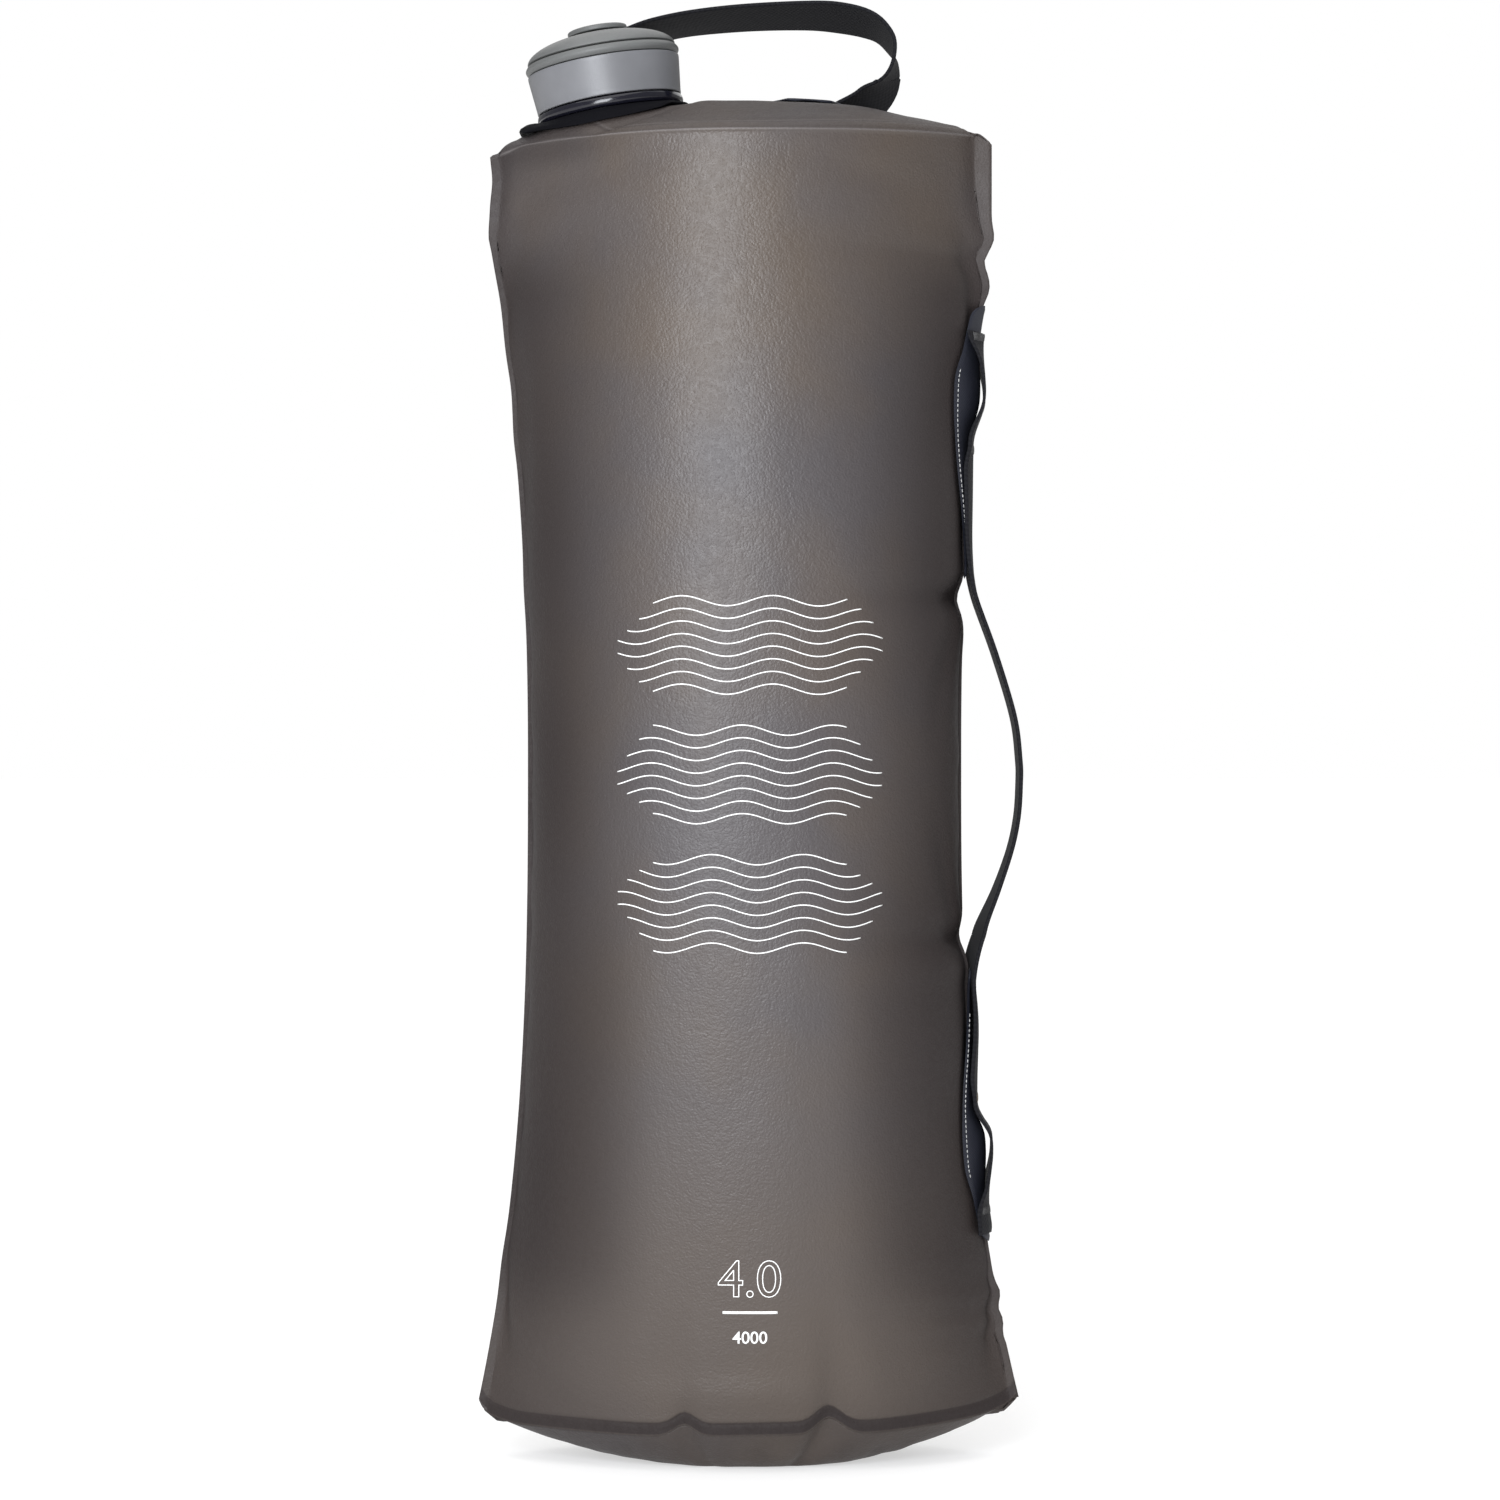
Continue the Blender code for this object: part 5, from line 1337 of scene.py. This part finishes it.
def sideX(z, y, outset, waves=True):
    # How far to the right the bag reaches at a height and a distance from the side seam
    middle, half, halfDepth, power = section(z)
    half += edgeWave(1, z) if waves else 0.0
    share = max(abs(y) - bag["seamGap"] / 2, 0.0) / (halfDepth + outset)
    return middle + (half + outset) * math.sqrt(1 - share ** (1 / power))


def patchZ(end, share):
    return end["tip"] + end["towards"] * side["patchLength"] * share


def patchShare(end, z):
    return (z - end["tip"]) * end["towards"] / side["patchLength"]


def loopRise(end, share):
    # 0 where the strap is sewn down and 1 at the top of its lash loop
    start, stop, peak = side["lashStart"], side["lashEnd"], end["peak"]
    part = min(max((share - start) / (stop - start), 0.0), 1.0)
    skew = part / peak / 2 if part < peak else 1 - (1 - part) / (1 - peak) / 2
    return math.sin(math.pi * skew) ** 2


def clingAt(end, share):
    # Sewn stretches of the strap bend round the side of the bag, and the loop stays flatter
    startRun, endRun = side["clingRuns"]
    free = mix(side["sewnCling"], side["cling"], ramp(share, side["lashStart"], startRun))
    return mix(free * (1 - loopRise(end, share)), side["sewnCling"], ramp(share, side["lashEnd"], endRun))


def recessAt(y, z):
    # How far the skin of a patch falls back at a distance from the strap's middle line
    outset = side["patchLift"] + side["patchWall"]
    return sideX(z, 0.0, outset, False) - sideX(z, y, outset, False)


def makeLashLoop(name, end):
    last = patchShare(end, end["handleEnd"])
    loose = 1 - (1 - side["lashEnd"]) / 2
    shares = [mix(end["tail"], last, step / side["steps"]) for step in range(side["steps"] + 1)]
    frees = [max((share - loose) / (last - loose), 0.0) ** side["freePower"] for share in shares]
    outset = side["patchLift"] + side["patchWall"]
    stand = sideX(end["handleEnd"], 0.0, side["standOff"], False)
    track = []
    for share, free in zip(shares, frees):
        z = patchZ(end, share)
        seat = mix(sideX(z, 0.0, outset), sideX(z, 0.0, outset, False), ease(free * side["freeSeat"]))
        seat += side["webLift"] + side["webWall"] / 2 + side["stand"] * swell(z, *side["standAt"])
        lift = (end["hump"] + end["bow"]) * loopRise(end, share)
        track.append(Vector((mix(seat + lift, stand, free), 0, z)))

    def settle(spot, off, index):
        outward = -off * end["towards"]
        rise = loopRise(end, shares[index])
        recess = recessAt(spot.y, spot.z) * clingAt(end, shares[index]) * (1 - frees[index])
        thin = (1 - ease((index + 1) / side["endRows"])) * (outward + side["webWall"] / 2) * side["endThin"]
        thin += side["loopThin"] * outward * rise
        return spot + Vector((side["tilt"] * rise * spot.y - recess - thin, 0, 0))

    sides = [Vector((-side["twist"] * swell(spot.z, *side["twistAt"]), 1, 0)) for spot in track]
    bm = ribbonMesh(track, sides, side["webWidth"], side["webWall"], settle)
    piece = newPiece(name + "LashLoop", bm, webFinish, None, [name + "_lash_loop"])
    pinned, freed = ((side["pinX"], 0, z) for z in (patchZ(end, side["pinShare"]), end["handleEnd"]))
    metres(pinned)
    metres(freed)
    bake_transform(piece)


def makeStitches(name, patch):
    count = int(side["patchLength"] * stitches["share"] / stitches["pitch"])
    for edge, facing in (("Front", -1), ("Back", 1)):
        bm = bmesh.new()
        for index in range(count):
            spots = []
            for reach in (-0.5, 0.5):
                part = (index + 0.5 + reach * stitches["length"] / stitches["pitch"]) / count
                share = stitches["start"] + stitches["share"] * part
                half = side["patchHalf"] * smoothTable(patchOutline, share)
                spots.append(patch(share, facing * (half - stitches["inset"]) / half, stitches["off"]))
            addStitch(bm, *spots, stitches["thread"])
        node = f"{name}_{edge.lower()}_stitches"
        drawIn(newPiece(f"{name}{edge}Stitches", bm, threadFinish, "bag", [node]))


def makeBartacks(name, end):
    lift = side["webLift"] + side["webWall"] - bartack["sink"]
    for place, middle in (("outer", side["lashStart"]), ("inner", side["lashEnd"])):
        centre = patchZ(end, middle + (bartack["height"] / 2 + side["gap"]) / side["patchLength"])
        bm = bmesh.new()
        for row in range(bartack["rows"] + 1):
            y = (row / bartack["rows"] * 2 - 1) * bartack["half"]
            spots = []
            for way in (-1, 1):
                z = centre + way * bartack["height"] / 2
                x = sideX(z, 0.0, side["patchLift"] + side["patchWall"]) + lift
                x -= recessAt(y, z) * clingAt(end, patchShare(end, z))
                spots.append(Vector((x, y + way * bartack["slant"], z)))
            addStitch(bm, *spots, bartack["thread"])
        thread = tanFinish if (name, place) == ("lower", "inner") else tackFinish
        node = f"{name}_{place}_bartack"
        newPiece(f"{name}{place.capitalize()}Bartack", bm, thread, "bag", [node])


def makeSideSet(name):
    end = sideEnds[name]

    def patch(v, across, off):
        z = patchZ(end, v)
        y = side["patchHalf"] * smoothTable(patchOutline, v) * across
        hump = end["hump"] * loopRise(end, v) * (1 - (y / side["patchHalf"]) ** 2)
        return Vector((sideX(z, y, side["patchLift"] + side["patchWall"] * off) + hump, y, z))

    newPatch(name + "SidePatch", name + "_side_patch", patch, side["patchLength"], side["patchHalf"])
    makeLashLoop(name, end)
    makeStitches(name, patch)
    makeBartacks(name, end)


def makeHandle():
    heights = [sideEnds[name]["handleEnd"] for name in ("upper", "lower")]
    top, bottom = (Vector((sideX(z, 0.0, 0.0, False) + side["standOff"], 0, z)) for z in heights)
    reach = (top - bottom).length * handle["bow"]
    track = smoothTrack([top.lerp(bottom, share) + Vector((reach * bow, 0, 0)) for share, bow in handleBows],
                        handle["steps"])
    sides = [Vector((handle["turn"] * swell(step / handle["steps"], *handle["turnAt"]), 1, 0))
             for step in range(handle["steps"] + 1)]
    bm = ribbonMesh(track, sides, side["webWidth"], side["webWall"])
    newPiece("sideHandleStrap", bm, webFinish, "handle", ["side_handle_strap"])


makeSideSet("upper")
makeSideSet("lower")
makeHandle()
print("side webbing made")


# Studio: floor, light and camera

studio = {
    "floorSize": 60.0, "floor": ((0.46, 0.46, 0.46), (0.49, 0.49, 0.49)), "floorCloud": 3.0,
    "cloudShare": 0.2, "glow": 0.535, "ambient": 0.30, "white": (1, 1, 1, 1),
    "cameraPlace": (0.0, -1.269, 0.2148), "lens": 100.0, "sensor": 36.0, "farthest": 200.0,
}
suns = (  # name, direction towards the light, strength, spread in degrees, colour
    ("keySun", (-0.14, -0.36, 0.92), 1.8, 75, (1.0, 0.99, 0.98)),
    ("backSun", (0.15, 0.62, 0.77), 1.1, 75, (1.0, 1.0, 1.0)),
)
softbox = {"place": (-0.34, -1.55, 0.62), "aim": (0, 0, 0.26), "width": 0.66, "height": 1.0, "power": 29.0,
           "colour": (0.93, 0.96, 1.0)}


def makeFloor():
    bm = bmesh.new()
    bmesh.ops.create_grid(bm, x_segments=2, y_segments=2, size=studio["floorSize"] / 2 / mm)
    finish = Finish("paleFloor", Roughness=0.9, Specular_IOR_Level=0.1, Emission_Color=(1.0, 1.0, 1.0),
                    Emission_Strength=studio["glow"])
    cloudy = finish.grain(studio["floorCloud"], 2.0)
    finish.put("Base_Color", finish.blend(cloudy * studio["cloudShare"], *studio["floor"]))
    newPiece("floor", bm, finish, None)


def makeSurround():
    # A white surround, dimmer as light than as a backdrop
    world = bpy.data.worlds.new("studioLight")
    world.use_nodes = True
    tree = world.node_tree
    sky = tree.nodes["Background"]
    surround = tree.nodes.new("ShaderNodeBackground")
    for shader, strength in ((sky, studio["ambient"]), (surround, 1.0)):
        shader.inputs["Color"].default_value = studio["white"]
        shader.inputs["Strength"].default_value = strength
    choice = tree.nodes.new("ShaderNodeMixShader")
    seen = tree.nodes.new("ShaderNodeLightPath")
    tree.links.new(seen.outputs["Is Camera Ray"], choice.inputs[0])
    tree.links.new(sky.outputs[0], choice.inputs[1])
    tree.links.new(surround.outputs[0], choice.inputs[2])
    tree.links.new(choice.outputs[0], tree.nodes["World Output"].inputs["Surface"])
    bpy.context.scene.world = world


def addLamp(name, kind, towards, strength, colour):
    light = bpy.data.lights.new(name, kind)
    light.energy, light.color = strength, colour
    lamp = bpy.data.objects.new(name, light)
    lamp.rotation_euler = towards.to_track_quat("Z", "Y").to_euler()
    bpy.context.collection.objects.link(lamp)
    return lamp


def makeStudio():
    makeFloor()
    makeSurround()
    for name, towards, strength, spread, colour in suns:
        addLamp(name, "SUN", Vector(towards), strength, colour).data.angle = math.radians(spread)
    place, aim = Vector(softbox["place"]), Vector(softbox["aim"])
    lamp = addLamp("frontSoftbox", "AREA", place - aim, softbox["power"], softbox["colour"])
    lamp.location = place
    lamp.data.shape, lamp.data.size, lamp.data.size_y = "RECTANGLE", softbox["width"], softbox["height"]

    lens = bpy.data.cameras.new("camera")
    lens.lens, lens.sensor_width, lens.clip_end = studio["lens"], studio["sensor"], studio["farthest"]
    camera = bpy.data.objects.new("camera", lens)
    camera.location = studio["cameraPlace"]
    camera.rotation_euler = (math.pi / 2, 0, 0)
    bpy.context.collection.objects.link(camera)
    bpy.context.scene.camera = camera
    bpy.context.scene.view_settings.view_transform = "Standard"


makeStudio()
print("studio made")
